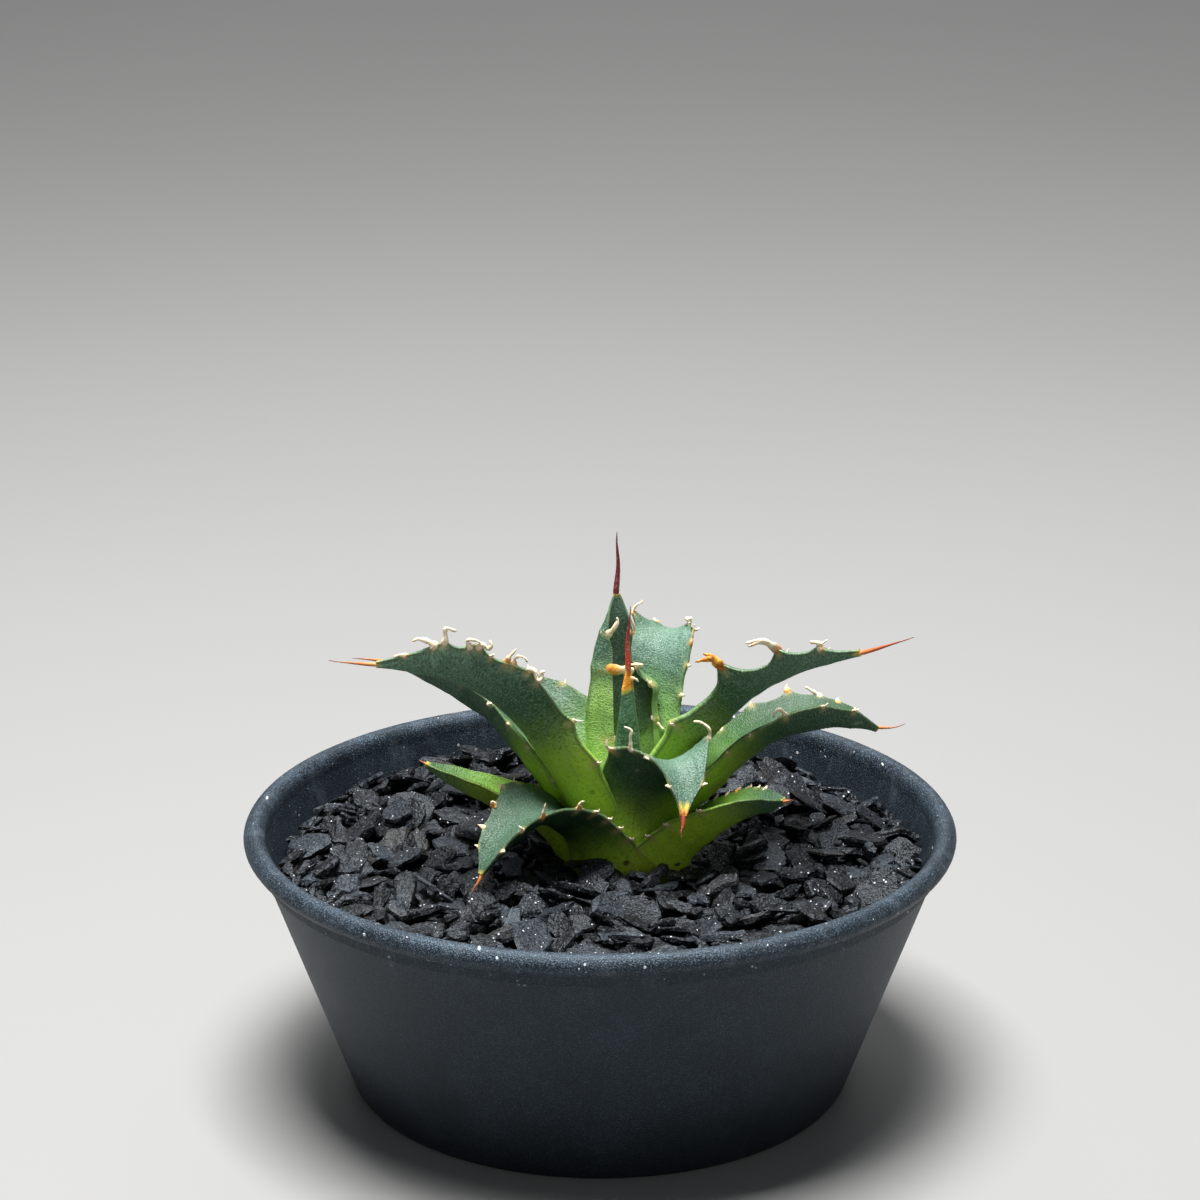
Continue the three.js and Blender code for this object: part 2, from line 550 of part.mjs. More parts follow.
// A filling that follows the wall between two heights, a gap off it, with its lower edge cut back.
function fillSolid(bottom, top, corner = 0) {
  const corners = [[panInnerRadius(bottom) - GAP - corner, bottom]];
  if (corner > 0) {
    corners.push([panInnerRadius(bottom + corner) - GAP, bottom + corner]);
  }
  corners.push([panInnerRadius(top) - GAP, top]);
  return latheSolid([[0, bottom], ...corners, [0, top]], PAN_SEGMENTS);
}

// A flat stone chip: an uneven polygon with a smaller upper face, tilted and turned.
function chipSolid(random, x, y) {
  const draw = ([low, high]) => mix(low, high, random());
  const sides = random() < 0.5 ? 4 : 5;
  const radius = draw(CHIP_RADIUS);
  const thickness = draw(CHIP_THICKNESS);
  const stretch = draw(CHIP_STRETCH);
  const corners = Array.from({ length: sides }, (_, k) => ({
    angle: (2 * Math.PI * (k + 0.5 * random())) / sides,
    reach: draw(CHIP_CORNER_REACH),
  }));
  const upperFace = draw(CHIP_UPPER_FACE);
  const turn = new THREE.Euler(
    draw([-CHIP_TILT, CHIP_TILT]),
    draw([-CHIP_TILT, CHIP_TILT]),
    draw([0, 2 * Math.PI]),
  );
  const centre = new THREE.Vector3(x, y, CHIP_LEVEL - thickness / 2 + draw(CHIP_LIFT));
  const outline = (scale, level) => corners.map(({ angle, reach }) => new THREE.Vector3(
    radius * scale * reach * Math.cos(angle),
    radius * scale * stretch * reach * Math.sin(angle),
    level,
  ).applyEuler(turn).add(centre));
  return hullOfTwo(outline(1, -thickness / 2), outline(upperFace, thickness / 2));
}

// A prism between two outlines of the same number of points.
function hullOfTwo(lower, upper) {
  const count = lower.length;
  const positions = [...lower, ...upper].flatMap((point) => point.toArray());
  const triangles = [];
  for (let k = 0; k < count; k += 1) {
    const next = (k + 1) % count;
    triangles.push(k, next, count + next, k, count + next, count + k);
  }
  for (let k = 1; k + 1 < count; k += 1) {
    triangles.push(0, k + 1, k, count, count + k, count + k + 1);
  }
  const geometry = new THREE.BufferGeometry();
  geometry.setAttribute('position', new THREE.Float32BufferAttribute(positions, 3));
  geometry.setIndex(triangles);
  return toSolid(geometry);
}

// The top layer: chips in a sunflower spiral, joined on a bed and cut to the wall and the plant.
function chipBedSolid(plantHole) {
  const random = makeRandom(CHIP_SEED);
  const shift = () => CHIP_SHIFT * (2 * random() - 1);
  const goldenAngle = Math.PI * (3 - Math.sqrt(5));
  const reach = panInnerRadius(CHIP_LEVEL) - CHIP_MARGIN;
  let chips = fillSolid(SOIL_TOP, CHIP_BED_TOP);
  for (let k = 0; k < CHIP_COUNT; k += 1) {
    const radius = reach * Math.sqrt((k + 0.5) / CHIP_COUNT);
    const x = radius * Math.cos(k * goldenAngle) + shift();
    const y = radius * Math.sin(k * goldenAngle) + shift();
    const chip = chipSolid(random, x, y);
    if (Math.hypot(x - PLANT_X, y) > STEM_RADIUS) {
      chips = chips.add(chip);
    }
  }
  const inside = fillSolid(SOIL_TOP, RIM_HEIGHT - BEAD_WIDTH);
  return largestBody(chips.intersect(inside).subtract(plantHole));
}

// Assembly

const group = new THREE.Group();

function addPiece(name, solid, { color, roughness, metalness = 0 }) {
  const material = new THREE.MeshStandardMaterial({ color, roughness, metalness });
  const mesh = new THREE.Mesh(toGeometry(solid), material);
  mesh.name = name;
  group.add(mesh);
}

const PAN_BLACK = { color: 0x16181b, roughness: 0.42 };
const SOIL_BROWN = { color: 0x2a2320, roughness: 0.95 };
const CHIP_GREY = { color: 0x3a3c42, roughness: 0.7 };
const STEM_TAN = { color: 0xa39a62, roughness: 0.8 };
const LEAF_GREEN = { color: 0x6f9468, roughness: 0.55 };
const SPINE_RED = { color: 0x8a3a26, roughness: 0.5 };

addPiece('pot', panSolid(), PAN_BLACK);

const stemHole = stemSolid(GAP);
addPiece('stem_and_roots', stemSolid(0), STEM_TAN);
const soil = fillSolid(FOOT_HEIGHT + FLOOR + GAP, SOIL_TOP - GAP, FLOOR_CORNER);
addPiece('soil', soil.subtract(stemHole), SOIL_BROWN);

// An older leaf wraps round the younger ones, so each leaf gives way to the stem and to older leaves.
const grownLeaves = LEAVES.map((leaf) => leafSolid(leaf, GAP));
LEAVES.forEach((leaf, i) => {
  const older = grownLeaves.slice(i + 1);
  const cut = older.reduce((solid, other) => solid.subtract(other), leafSolid(leaf, 0).subtract(stemHole));
  const number = String(i + 1).padStart(2, '0');
  addPiece(`leaf_${number}`, largestBody(cut), LEAF_GREEN);
  addPiece(`spine_${number}`, spineSolid(leaf), SPINE_RED);
});

const plantHole = grownLeaves.reduce((solid, leaf) => solid.add(leaf), stemHole);
addPiece('gravel', chipBedSolid(plantHole), CHIP_GREY);

export default group;
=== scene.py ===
"""A potted Utah agave: twelve toothed leaves in a round black pan, under dark stone chips."""
import math
import random

import bpy
import numpy as np
from mathutils import Matrix, Vector, noise


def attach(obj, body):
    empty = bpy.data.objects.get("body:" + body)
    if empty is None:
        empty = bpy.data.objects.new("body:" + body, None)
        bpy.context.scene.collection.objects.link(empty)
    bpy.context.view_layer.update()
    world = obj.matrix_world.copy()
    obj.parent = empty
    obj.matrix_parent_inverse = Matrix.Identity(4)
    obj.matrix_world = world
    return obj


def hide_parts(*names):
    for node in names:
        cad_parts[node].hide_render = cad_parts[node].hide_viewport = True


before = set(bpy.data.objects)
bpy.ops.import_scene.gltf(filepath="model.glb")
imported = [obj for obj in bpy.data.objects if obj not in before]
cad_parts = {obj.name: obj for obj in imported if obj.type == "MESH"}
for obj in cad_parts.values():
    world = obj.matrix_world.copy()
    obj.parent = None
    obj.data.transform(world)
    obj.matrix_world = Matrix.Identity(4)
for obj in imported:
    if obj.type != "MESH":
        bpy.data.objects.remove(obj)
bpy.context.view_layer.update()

MM = 0.001

# Pan, in millimetres
RIM_RADIUS = 74.99
RIM_HEIGHT = 58.0
BEAD_WIDTH = 4.6
WALL = 1.8
WALL_TOP = (71.8, 52.6)
WALL_FOOT = (53.4, 1.4)
FOOT_RADIUS = 52.5
FOOT_WIDTH = 4.0
FOOT_HEIGHT = 1.6
FLOOR = 2.2
PAN_TURNS = 144
DRAIN_RADIUS = 4.0
DRAIN_CIRCLE = 32.0
DRAIN_COUNT = 6
DRAIN_SIDES = 40

# Stone chips, in millimetres
CHIP_LEVEL = 50.0
BED_START = 45.0
BED_BOTTOM = 40.0
CHIP_SEED = 11
CHIP_KINDS = 18
CHIP_LENGTH = (1.2, 6.3)
SMALL_CHIPS = 1.9
CHIP_THICKNESS = (0.55, 1.5)
CHIP_SIDES = 15
CHIP_LIMIT = 2400
CHIPS_IN_PIECE = 1500
CHIP_TRIES = 5
MISS_LIMIT = 160
STEEPEST = 0.6
TUMBLE = 0.46
HEIGHT_CELL = 0.6
HEIGHT_REACH = 70.0
PLANT_CLEARANCE = 10.0

# Plant, in millimetres
PLANT = (6.0, 0.0)
TIP_MARGIN = 0.6
TIP_THICKNESS = 1.3
TIP_GUTTER = 0.1
TIP_SHARE = 0.12
TIP_NARROWING = 0.55
GUTTER_POWER = 1.7
BELLY_POWER = 2.2
ROLL_POWER = 5
IMPRINT_HEIGHT = 0.22
IMPRINT_WIDTH = 0.045
SWELLING_POWER = 1.25
HALO_REACH = 0.7
UNEVENNESS = 0.75
BLADE_RINGS = 150
FACE_CELLS = 22
EDGE_CELLS = 4
BARB_SIDES = 12
BARB_STEPS = 22
TOOTH_ROOT = 0.9
SPINE_ROOT = 1.6
SPINE_POINTS = 8
SPINE_TIP = 0.07
HEEL_SHARE = 0.2
SIDES = (-1, 1)

# Camera
CAMERA_PLACE = (0, -0.6572, 0.3138)
CAMERA_TILT = 17.57
LENS = 100

# What a leaf has where its own lines don't say otherwise
PLAIN_LEAF = dict(
    thickness=(4.5, 2.4), twist=(0, 0), margin=(1, 0.7), roll=(0, 0), lobe=(0.036, 0.5), heel=0, ripe=1,
    shoulders=[],
)

# The leaves, youngest first, in millimetres and degrees. Shares run from 0 at the base to 1 at the tip.
# line: the midrib as curve control points (out, up, sideways) from the plant's base, in the vertical
# plane at the azimuth. half_width: at the base, the widest place and the tip. gutter: how far the margins
# stand up, as a share of the half width, at base and tip. thickness, margin: of the midrib and of the
# margins, at base and tip. twist: about the midrib, at base and tip. roll: how far the margins of side -1
# and 1 roll inward, as a share of the half width. lobe: how long the swellings under the teeth are, as a
# share of the leaf, and how far they lift the margin. heel: extra thickness at the base. spine: length,
# radius, lift, lean and redness. freshness: how yellow-green; a low one also turns the base blue-green
# sooner, which darkens the under sides of leaf_06 and leaf_09 as painted shade. bloom: how
# waxy the upper and the under side are, and painted shade: a low value darkens that side, for leaves
# that lie in shade. ripe: where the flesh turns orange. shoulders: (where, side, sideways, spread)
# changes of the width apart from those under teeth.
# teeth: (where, side, swelling, kind, points). One point says how far a short tooth reaches (out, along,
# up) of the leaf. More points are the places that a curling tooth passes, from its root, as (right, back,
# up) of the whole plant.
LEAVES = []


def add_leaf(**habit):
    """The next leaf, which is a plain one in all that its habit leaves out."""
    LEAVES.append({**PLAIN_LEAF, **habit})


def tooth_row(side, swelling, kind, reach, *places):
    """Short teeth alike, at several places along one margin."""
    return [(place, side, swelling, kind, reach) for place in places]


add_leaf(
    name="leaf_01", azimuth=242, line=[(0, 5, 0), (0, 18, 0), (0, 30, 0), (0, 41, 0)],
    half_width=(4, 4, 0.4), widest_at=0.2, taper=0.85, gutter=(0, 0), thickness=(5, 2.6),
    spine=(13.5, 0.62, 0.5, 0.3, 0.75), freshness=0.15, bloom=(1, 0.6), ripe=0.86, margin=(0.9, 0.6),
    lobe=(0.036, 0),
    teeth=[
        (0.93, 1, 0.1, "hook", (0.5, -0.3, 0.2), (1.1, -0.3, -0.1), (1.6, -0.2, -0.7)),
    ],
)
add_leaf(
    name="leaf_02", azimuth=100, line=[(2.5, 4, 0), (7, 16, 0), (8.5, 32, 0), (8.5, 44, 1.3), (8, 54.5, 1)],
    half_width=(7, 8.2, 1), widest_at=0.2, taper=1.4, gutter=(0.75, 0.85), thickness=(4.5, 2.2),
    spine=(13.5, 0.62, -0.5, 0.3, 1), freshness=0.25, bloom=(0.9, 0.5), margin=(3.4, 0.9), roll=(0.5, 1),
    lobe=(0.036, 0.4),
    shoulders=[
        (0.7, -1, -1.6, 0.08), (0.57, -1, 3, 0.05), (0.5, -1, 1.2, 0.06), (0.38, -1, 1.5, 0.15),
        (0.74, 1, 1.3, 0.15), (0.47, 1, 1.7, 0.17),
    ],
    teeth=[
        (0.38, 1, 0, "tusk", (1, -0.6, -0.8), (2, -0.8, 0.4), (3.1, -0.6, -0.2), (3.3, -0.6, -1.4)),
        (0.665, 1, 0.5, "band", (1.2, -0.9, 0.2), (2.4, -1.3, 0.3), (3.6, -1.4, 0.2), (4.7, -1.2, 0)),
        (0.82, 1, 0.4, "whip", (0.9, -0.6, 1.2), (1.9, -0.7, 3), (1.7, -0.7, 4)),
        (0.44, -1, 0.6, "tusk", (0.7, -0.4, -0.5), (1.5, -0.6, -1.3), (2.3, -0.7, -2.2)),
        (0.585, -1, 0.4, "hook", (-0.3, -0.4, 0.6), (-0.7, -0.6, 1.3)),
        (0.67, -1, 0.6, "hook", (-2.2, 1.2, 2)), (0.82, -1, 0.4, "hook", (-0.6, 4.4, 0.8)),
    ],
)
add_leaf(
    name="leaf_03", azimuth=-18,
    line=[(2, 6, 0), (10.4, 24.5, 2.1), (21.7, 41.1, 0.3), (32.9, 44.8, 2.3), (49.6, 50.3, -1.3)],
    half_width=(8, 6.6, 1.1), widest_at=0.4, taper=0.85, gutter=(0.65, 0.26), thickness=(3.6, 1.5),
    twist=(0.9, -29.6), spine=(12.5, 0.5, 1.6, 0, 0.45), freshness=0.15, bloom=(0.6, 0.8),
    margin=(1.4, 0.8), lobe=(0.034, 1.65),
    shoulders=[(0.45, -1, -1.3, 0.06), (0.64, -1, 0.95, 0.05), (0.8, -1, 1.9, 0.05), (0.3, -1, -0.4, 0.06)],
    teeth=[
        (0.34, -1, 0.6, "prickle", (1, 0.3, 0.6)),
        (0.573, -1, 2.7, "claw", (-0.4, -0.3, 0.4), (-1.1, -0.4, 1.2), (-2, -0.5, 1.9), (-3.2, -0.5, 2.3)),
        (0.757, -1, 1.6, "fray", (-1.1, -0.3, 0.8), (-2.5, -0.4, 1.6), (-4.2, -0.5, 1.7),
         (-6.4, -0.5, 1.2)),
        (0.885, -1, 0.7, "tusk", (0.1, -0.1, 0.7), (-0.8, -0.2, 1.1), (-1.9, -0.2, 1.2)),
        (0.889, -1, 0.1, "hook", (0.1, -0.1, 0.8), (0.7, -0.1, 1.3), (1.5, -0.1, 1.8)),
        (0.34, 1, 0.6, "prickle", (1, 0.3, 0.6)), (0.52, 1, 0.6, "prickle", (0.9, 0.4, 0.6)),
        (0.69, 1, 1.5, "hook", (1.5, 1.5, 1.2)), (0.85, 1, 0.8, "prickle", (1.1, 1.2, 0.8)),
    ],
)
add_leaf(
    name="leaf_04", azimuth=202,
    line=[(2, 5, 0), (16.3, 20.7, 1), (19.5, 41.7, 0.2), (35.3, 48.4, 0), (54.9, 48.8, -1.2)],
    half_width=(8.5, 9.5, 1.1), widest_at=0.5, taper=1.2, gutter=(0.29, 0.38), thickness=(5.3, 2.5),
    twist=(-7, 33.6), spine=(9.6, 0.45, 1.8, 0, 0.3), freshness=0.2, bloom=(0.6, 1), margin=(0.9, 0.6),
    lobe=(0.028, 1.2),
    shoulders=[(0.64, 1, -1.2, 0.07), (0.42, 1, -2.3, 0.12), (0.3, 1, 0.6, 0.06)],
    teeth=[
        (0.27, 1, 0.5, "prickle", (1.1, 0.3, 0.8)), (0.4, 1, 1, "prickle", (1.4, -1, 1.2)),
        (0.56, 1, 0.2, "prickle", (1, 0, 0.6)),
        (0.595, 1, 1.2, "tusk", (0.8, -0.4, -0.25), (1.05, -0.6, -1.6), (1.75, -0.7, -2.1),
         (2.35, -0.7, -1.3), (2.1, -0.7, -0.4), (2.9, -0.7, -0.1)),
        (0.639, 1, 0.5, "arch", (0.2, -0.2, 1.1), (1, -0.3, 1.65), (2.2, -0.4, 1.3), (2.7, -0.4, 0.3)),
        (0.658, 1, 0.5, "spike", (0.3, -0.2, 0.8), (0.9, -0.3, 1.5), (2.1, -0.3, 2.9)),
        (0.705, 1, 0.2, "prickle", (1, 0, 0.6)),
        (0.746, 1, 1.3, "tusk", (0.7, -0.3, 0.25), (1.6, -0.4, -0.6), (2.3, -0.5, 0.2), (2.05, -0.5, 1.4)),
        (0.768, 1, 0.6, "curl", (-0.6, -0.2, 0.8), (-0.4, -0.3, 1.45), (1.4, -0.3, 1.2), (2.5, -0.4, 0.3)),
        (0.834, 1, 1.5, "cap", (0.1, -0.1, 1.2), (0.1, -0.1, 2.5), (0.9, -0.1, 2.6), (2.3, -0.1, 2)),
        (0.857, 1, 0.3, "whip", (-1.1, -0.2, 0.8), (-2.4, -0.2, 1.3), (-3.6, -0.2, 1.4), (-4.5, -0.2, 0.8)),
        (0.929, 1, 0.2, "arch", (-0.7, -0.2, 0.1), (-1.5, -0.2, 0), (-2.2, -0.2, -0.4)),
        (0.35, -1, 0.8, "prickle", (1.2, 0.5, 1)), (0.5, -1, 1.2, "hook", (1.6, 1, 1.5)),
        (0.64, -1, 1.4, "curl", (1.6, 1.5, 1.8)), (0.77, -1, 1.2, "hook", (1.5, 2, 1.5)),
    ],
)
add_leaf(
    name="leaf_05", azimuth=63,
    line=[(3, 5, 0), (7, 20, -1), (10, 34, -1.5), (12, 57, -2), (22, 43, 0), (31, 36, 3.5)],
    half_width=(7, 7.8, 1), widest_at=0.5, taper=1.1, gutter=(0.25, 0.22), thickness=(4, 2.2),
    spine=(8, 0.55, 3.5, 0, 0.4), freshness=0.1, bloom=(1, 0.6), margin=(0.9, 0.7), lobe=(0.024, 1.3),
    shoulders=[(0.4, -1, -1.3, 0.15), (0.7, -1, -1.8, 0.06), (0.56, 1, -1, 0.05)],
    teeth=[
        *tooth_row(-1, 0.5, "prickle", (1, 0.3, 0.6), 0.385, 0.48),
        (0.565, -1, 0.5, "hook", (0.2, 0, 1.2), (0.4, 0, 2.6), (0.7, 0, 4.2)),
        (0.68, -1, 1, "cap", (-0.1, 0, 0.4), (-0.9, -0.2, 0.7), (0.6, -0.2, 0.8)),
        (0.385, 1, 0.5, "prickle", (1, 0.3, 0.6)), (0.48, 1, 0.6, "prickle", (1, 0.4, 0.6)),
        (0.68, 1, 2, "arch", (0.4, 0, 1), (1.1, 0, 1.8), (2, 0, 2.2), (1.9, 0, 2.8)),
        (0.84, -1, 0.6, "hook", (1, 0.8, 1)), (0.84, 1, 0.6, "hook", (1, 0.8, 1)),
    ],
)
add_leaf(
    name="leaf_06", azimuth=-68, line=[(5, 2, 0), (9, 14, 0), (11, 28, 2), (20, 32.5, 5), (27, 17.5, 1)],
    half_width=(9, 10.4, 1), widest_at=0.5, taper=0.95, gutter=(0.35, 0.5), twist=(0, 3),
    # Low freshness and a low under-side bloom: painted shade under this leaf's overhanging fold.
    spine=(4.2, 0.78, 0, 0, 0.5), freshness=0.02, bloom=(0.8, 0.27), ripe=0.975, heel=2,
    teeth=[
        (0.53, -1, 1.1, "hook", (1.2, 1.6, 1.6)),
        (0.64, -1, 1, "curl", (0.1, -0.2, 1.4), (0, -0.3, 2.8), (0.2, -0.3, 4.2), (-1.3, -0.3, 5)),
        (0.74, -1, 0.6, "prickle", (0.8, 0.2, 0.8)),
        (0.5, 1, 1.2, "curl", (0.3, -0.2, 1.4), (0.3, -0.3, 2.6), (-0.4, -0.3, 3.9), (-1.4, -0.3, 5)),
        (0.68, 1, 1, "curl", (0.1, -0.3, 1.2), (-0.5, -0.4, 2.4), (-1.9, -0.5, 3.4), (-3.4, -0.5, 3.6)),
        (0.89, 1, 0.4, "prickle", (0.9, 0.2, 0.5)), (0.9, -1, 0.4, "prickle", (0.8, 0.2, 0.5)),
    ],
)
add_leaf(
    name="leaf_07", azimuth=142,
    line=[(4, 3, 0), (15.4, 12.2, 1.8), (24.9, 24.4, -1.7), (40.6, 29.6, 0.6), (60.2, 32.5, 7.7)],
    half_width=(8.5, 12, 1), widest_at=0.45, taper=1.15, gutter=(0.83, 0.44), thickness=(8.4, 1.8),
    twist=(-8.9, 10.6), spine=(8.2, 0.45, -1.2, 0, 0.35), freshness=0.25, bloom=(0.25, 0.55),
    lobe=(0.036, 0.6),
    teeth=[
        (0.23, 1, 0.5, "prickle", (1, 0.3, 0.6)), *tooth_row(1, 0.6, "prickle", (1, 0.3, 0.6), 0.37, 0.48),
        (0.587, 1, 0.9, "curl", (1.4, -0.8, 1.4)), (0.73, 1, 0.7, "hook", (1.3, 1, 1)),
        (0.4, -1, 0.5, "prickle", (1, 0.3, 0.6)), (0.53, -1, 0.5, "prickle", (1.1, 0.4, 0.9)),
        (0.64, -1, 0.6, "hook", (1.3, 0.8, 1)), (0.78, -1, 0.6, "prickle", (1.2, 1, 0.8)),
    ],
)
add_leaf(
    name="leaf_08", azimuth=10, line=[(4, 4, 0), (16, 16, 0), (28, 30.5, 0), (43, 31.5, 0), (54, 24.5, 0)],
    half_width=(7.5, 8.4, 1), widest_at=0.5, taper=1.3, gutter=(0.3, 0.5), twist=(-7, -10),
    spine=(5, 0.42, 4, 0, 0.25), freshness=0.2, bloom=(0.08, 0.45), lobe=(0.036, 0.8),
    teeth=[
        *tooth_row(-1, 0.4, "prickle", (0.9, 0.3, 0.6), 0.27, 0.36),
        (0.45, -1, 0.4, "prickle", (0.9, 0.3, 0.7)),
        (0.58, -1, 0.9, "curl", (-0.4, -0.5, 0.9), (-1.2, -0.7, 1.4), (-2.1, -0.8, 0.8),
         (-2.2, -0.8, -0.6)),
        (0.72, -1, 0.7, "prickle", (1.1, 1, 0.8)), (0.85, -1, 0.5, "prickle", (0.9, 0.8, 0.6)),
        (0.38, 1, 0.6, "prickle", (1, 0.3, 0.8)), (0.51, 1, 0.8, "prickle", (1.1, 0.4, 0.8)),
        (0.65, 1, 2.2, "hook", (0.9, 0.6, 1.1)),
        (0.76, 1, 1, "curl", (-0.8, 0, 0.5), (-1.8, 0, 1.1), (-3, 0, 1.9)),
        (0.83, 1, 0.4, "hook", (0.8, 0.3, 0.8)), (0.9, 1, 0.4, "prickle", (0.7, 0.3, 0.6)),
    ],
)
add_leaf(
    name="leaf_09", azimuth=222, line=[(4, -3, 0), (12, 8, 0), (22, 24, 0), (34, 16, 0), (41, 6, 0)],
    half_width=(10.5, 9, 1), widest_at=0.45, taper=1.2, gutter=(0.3, 0.4), spine=(5, 0.5, 0.3, 0, 0.3),
    # Low freshness and a low under-side bloom: painted shade on this leaf's under side.
    freshness=-0.05, bloom=(0.42, 0.12), margin=(0.9, 0.7), heel=4,
    shoulders=[(0.58, -1, 1.8, 0.07)],
    teeth=[
        *tooth_row(1, 0.4, "prickle", (0.9, 0.2, 0.7), 0.2, 0.27, 0.34),
        (0.42, 1, 0.5, "prickle", (1, 0.3, 0.8)),
        (0.51, 1, 0.8, "hook", (0.1, -0.3, 0.7), (0.5, -0.4, 1.4), (1.2, -0.4, 1.5)),
        (0.67, 1, 0.9, "hook", (0, -0.4, 1), (0.2, -0.5, 2), (0.5, -0.5, 3.2)),
        (0.77, 1, 0.8, "hook", (-0.2, -0.4, 0.6), (-0.8, -0.5, 1.3)),
        (0.88, 1, 0.5, "hook", (0.9, 0.5, 0.8)), *tooth_row(-1, 0.5, "prickle", (0.8, 0.2, 1.3), 0.52, 0.6),
        (0.71, -1, 0.9, "hook", (-0.1, -0.4, 0.5), (0.5, -0.8, 0.7), (0.9, -0.9, 0.1)),
        (0.82, -1, 0.6, "prickle", (1, 0.3, 0.7)), (0.9, -1, 0.4, "prickle", (0.8, 0.3, 0.5)),
    ],
)
add_leaf(
    name="leaf_10", azimuth=93, line=[(4, -3, 0), (14, 7, 0), (24, 12, 0), (34, 14, 0), (42, 14, 0)],
    half_width=(7.5, 7.5, 1), widest_at=0.4, taper=1.3, gutter=(0.35, 0.4), spine=(3, 0.5, 0.3, 0, 0.3),
    freshness=0.7, bloom=(0.5, 0.3), margin=(0.8, 0.7),
    teeth=[
        (0.35, 1, 0.5, "prickle", (1, 0.3, 0.7)), (0.53, 1, 0.6, "prickle", (1.1, 0.4, 0.8)),
        (0.7, 1, 0.5, "prickle", (1, 0.4, 0.7)), (0.42, -1, 0.5, "prickle", (1, 0.3, 0.7)),
        (0.6, -1, 0.6, "hook", (1.1, 0.4, 0.8)), (0.78, -1, 0.5, "prickle", (0.9, 0.4, 0.6)),
    ],
)
add_leaf(
    name="leaf_11", azimuth=-35,
    line=[(4, -3, 0), (14, 7, 0), (22, 14.5, 0), (31, 18.6, 0), (38.5, 20.3, 0)], half_width=(10, 8, 1),
    widest_at=0.33, taper=1.1, gutter=(0.45, 0.5), spine=(2, 0.5, 0.3, 0, 0.35), freshness=0.75,
    bloom=(0.25, 0.3), margin=(0.8, 0.7), heel=4,
    teeth=[
        *tooth_row(1, 0.5, "prickle", (1.1, 0.4, 0.8), 0.4, 0.49), (0.57, 1, 0.5, "hook", (1.1, 0.4, 0.8)),
        (0.66, 1, 0.5, "prickle", (1, 0.4, 0.7)),
        *tooth_row(1, 0.4, "prickle", (0.9, 0.3, 0.5), 0.73, 0.79),
        *tooth_row(-1, 0.4, "prickle", (0.9, 0.2, 0.8), 0.16, 0.25, 0.36),
        (0.54, -1, 0.4, "prickle", (0.8, 0.2, 0.6)),
    ],
)
add_leaf(
    name="leaf_12", azimuth=178, line=[(4, -3, 0), (14, 6, 0), (22, 11, 0), (32, 14, 0), (42.5, 19.5, 0)],
    half_width=(7.5, 6.6, 1), widest_at=0.4, taper=1.1, gutter=(0.4, 0.5), thickness=(4.2, 2.2),
    spine=(1.6, 0.5, 0.3, 0, 0.1), freshness=1, bloom=(0.2, 0.6), margin=(0.8, 0.7), lobe=(0.036, 0.4),
    heel=5,
    shoulders=[(0.2, 1, 2.2, 0.2)],
    teeth=[
        *tooth_row(1, 0.4, "prickle", (0.9, 0.2, 0.8), 0.25, 0.36),
        (0.5, 1, 0.4, "prickle", (0.8, 0.2, 0.6)),
        *tooth_row(-1, 0.4, "prickle", (0.9, 0.2, 0.7), 0.3, 0.45),
    ],
)

# How each kind of tooth is shaped and coloured: its half length along the margin and half thickness at
# its foot, where it leaves its foot and at its end, how many bends out it has thinned, from 0 for orange
# to 1 for cream, and if it splits, how fast the second thread leaves the first.
TOOTH_KINDS = {
    "prickle": ((0.6, 0.3), (0.26, 0.2), (0.05, 0.05), 0.9, 1.0),
    "hook": ((0.8, 0.4), (0.38, 0.3), (0.1, 0.1), 0.9, 0.55),
    "spike": ((0.9, 0.45), (0.54, 0.44), (0.1, 0.1), 0.8, 0.5),
    "arch": ((0.8, 0.4), (0.32, 0.28), (0.2, 0.17), 0.8, 0.7),
    "curl": ((0.8, 0.42), (0.42, 0.36), (0.28, 0.23), 0.6, 1.1),
    "whip": ((1.1, 0.5), (0.6, 0.42), (0.15, 0.13), 0.9, 1.0),
    "cap": ((0.8, 0.45), (0.56, 0.42), (0.34, 0.24), 0.6, 1.1),
    "tusk": ((0.9, 0.5), (0.64, 0.5), (0.36, 0.3), 0.6, 1.0),
    "band": ((1.3, 0.6), (1.05, 0.45), (0.85, 0.36), 0.9, 0.5),
    "fray": ((1.2, 0.55), (0.9, 0.5), (0.28, 0.24), 1.4, 0.75, (0.3, -0.1, -0.32)),
    "claw": ((1.2, 0.6), (1.0, 0.6), (0.24, 0.2), 1.5, 0.05, (-0.8, -0.2, -0.85)),
}


# Shader tools


class Wire:
    """A shader socket on which Python's arithmetic adds Math nodes."""

    def __init__(self, finish, socket):
        self.finish = finish
        self.socket = socket

    def math(self, operation, *values):
        return self.finish.node("ShaderNodeMath", {"operation": operation}, dict(enumerate(values)))

    def __add__(self, other):
        return self.math("ADD", self, other)

    def __sub__(self, other):
        return self.math("SUBTRACT", self, other)

    def __rsub__(self, other):
        return self.math("SUBTRACT", other, self)

    def __mul__(self, other):
        return self.math("MULTIPLY", self, other)

    def __abs__(self):
        return self.math("ABSOLUTE", self)

    __radd__ = __add__
    __rmul__ = __mul__

    def above(self, low, high):
        """0 below low, 1 above high, and smooth between; high may lie under low."""
        inputs = {"Value": self, "From Min": low, "From Max": high}
        return self.finish.node("ShaderNodeMapRange", {"interpolation_type": "SMOOTHSTEP"}, inputs)

    def clamped(self):
        return self.finish.node("ShaderNodeClamp", {}, {"Value": self})


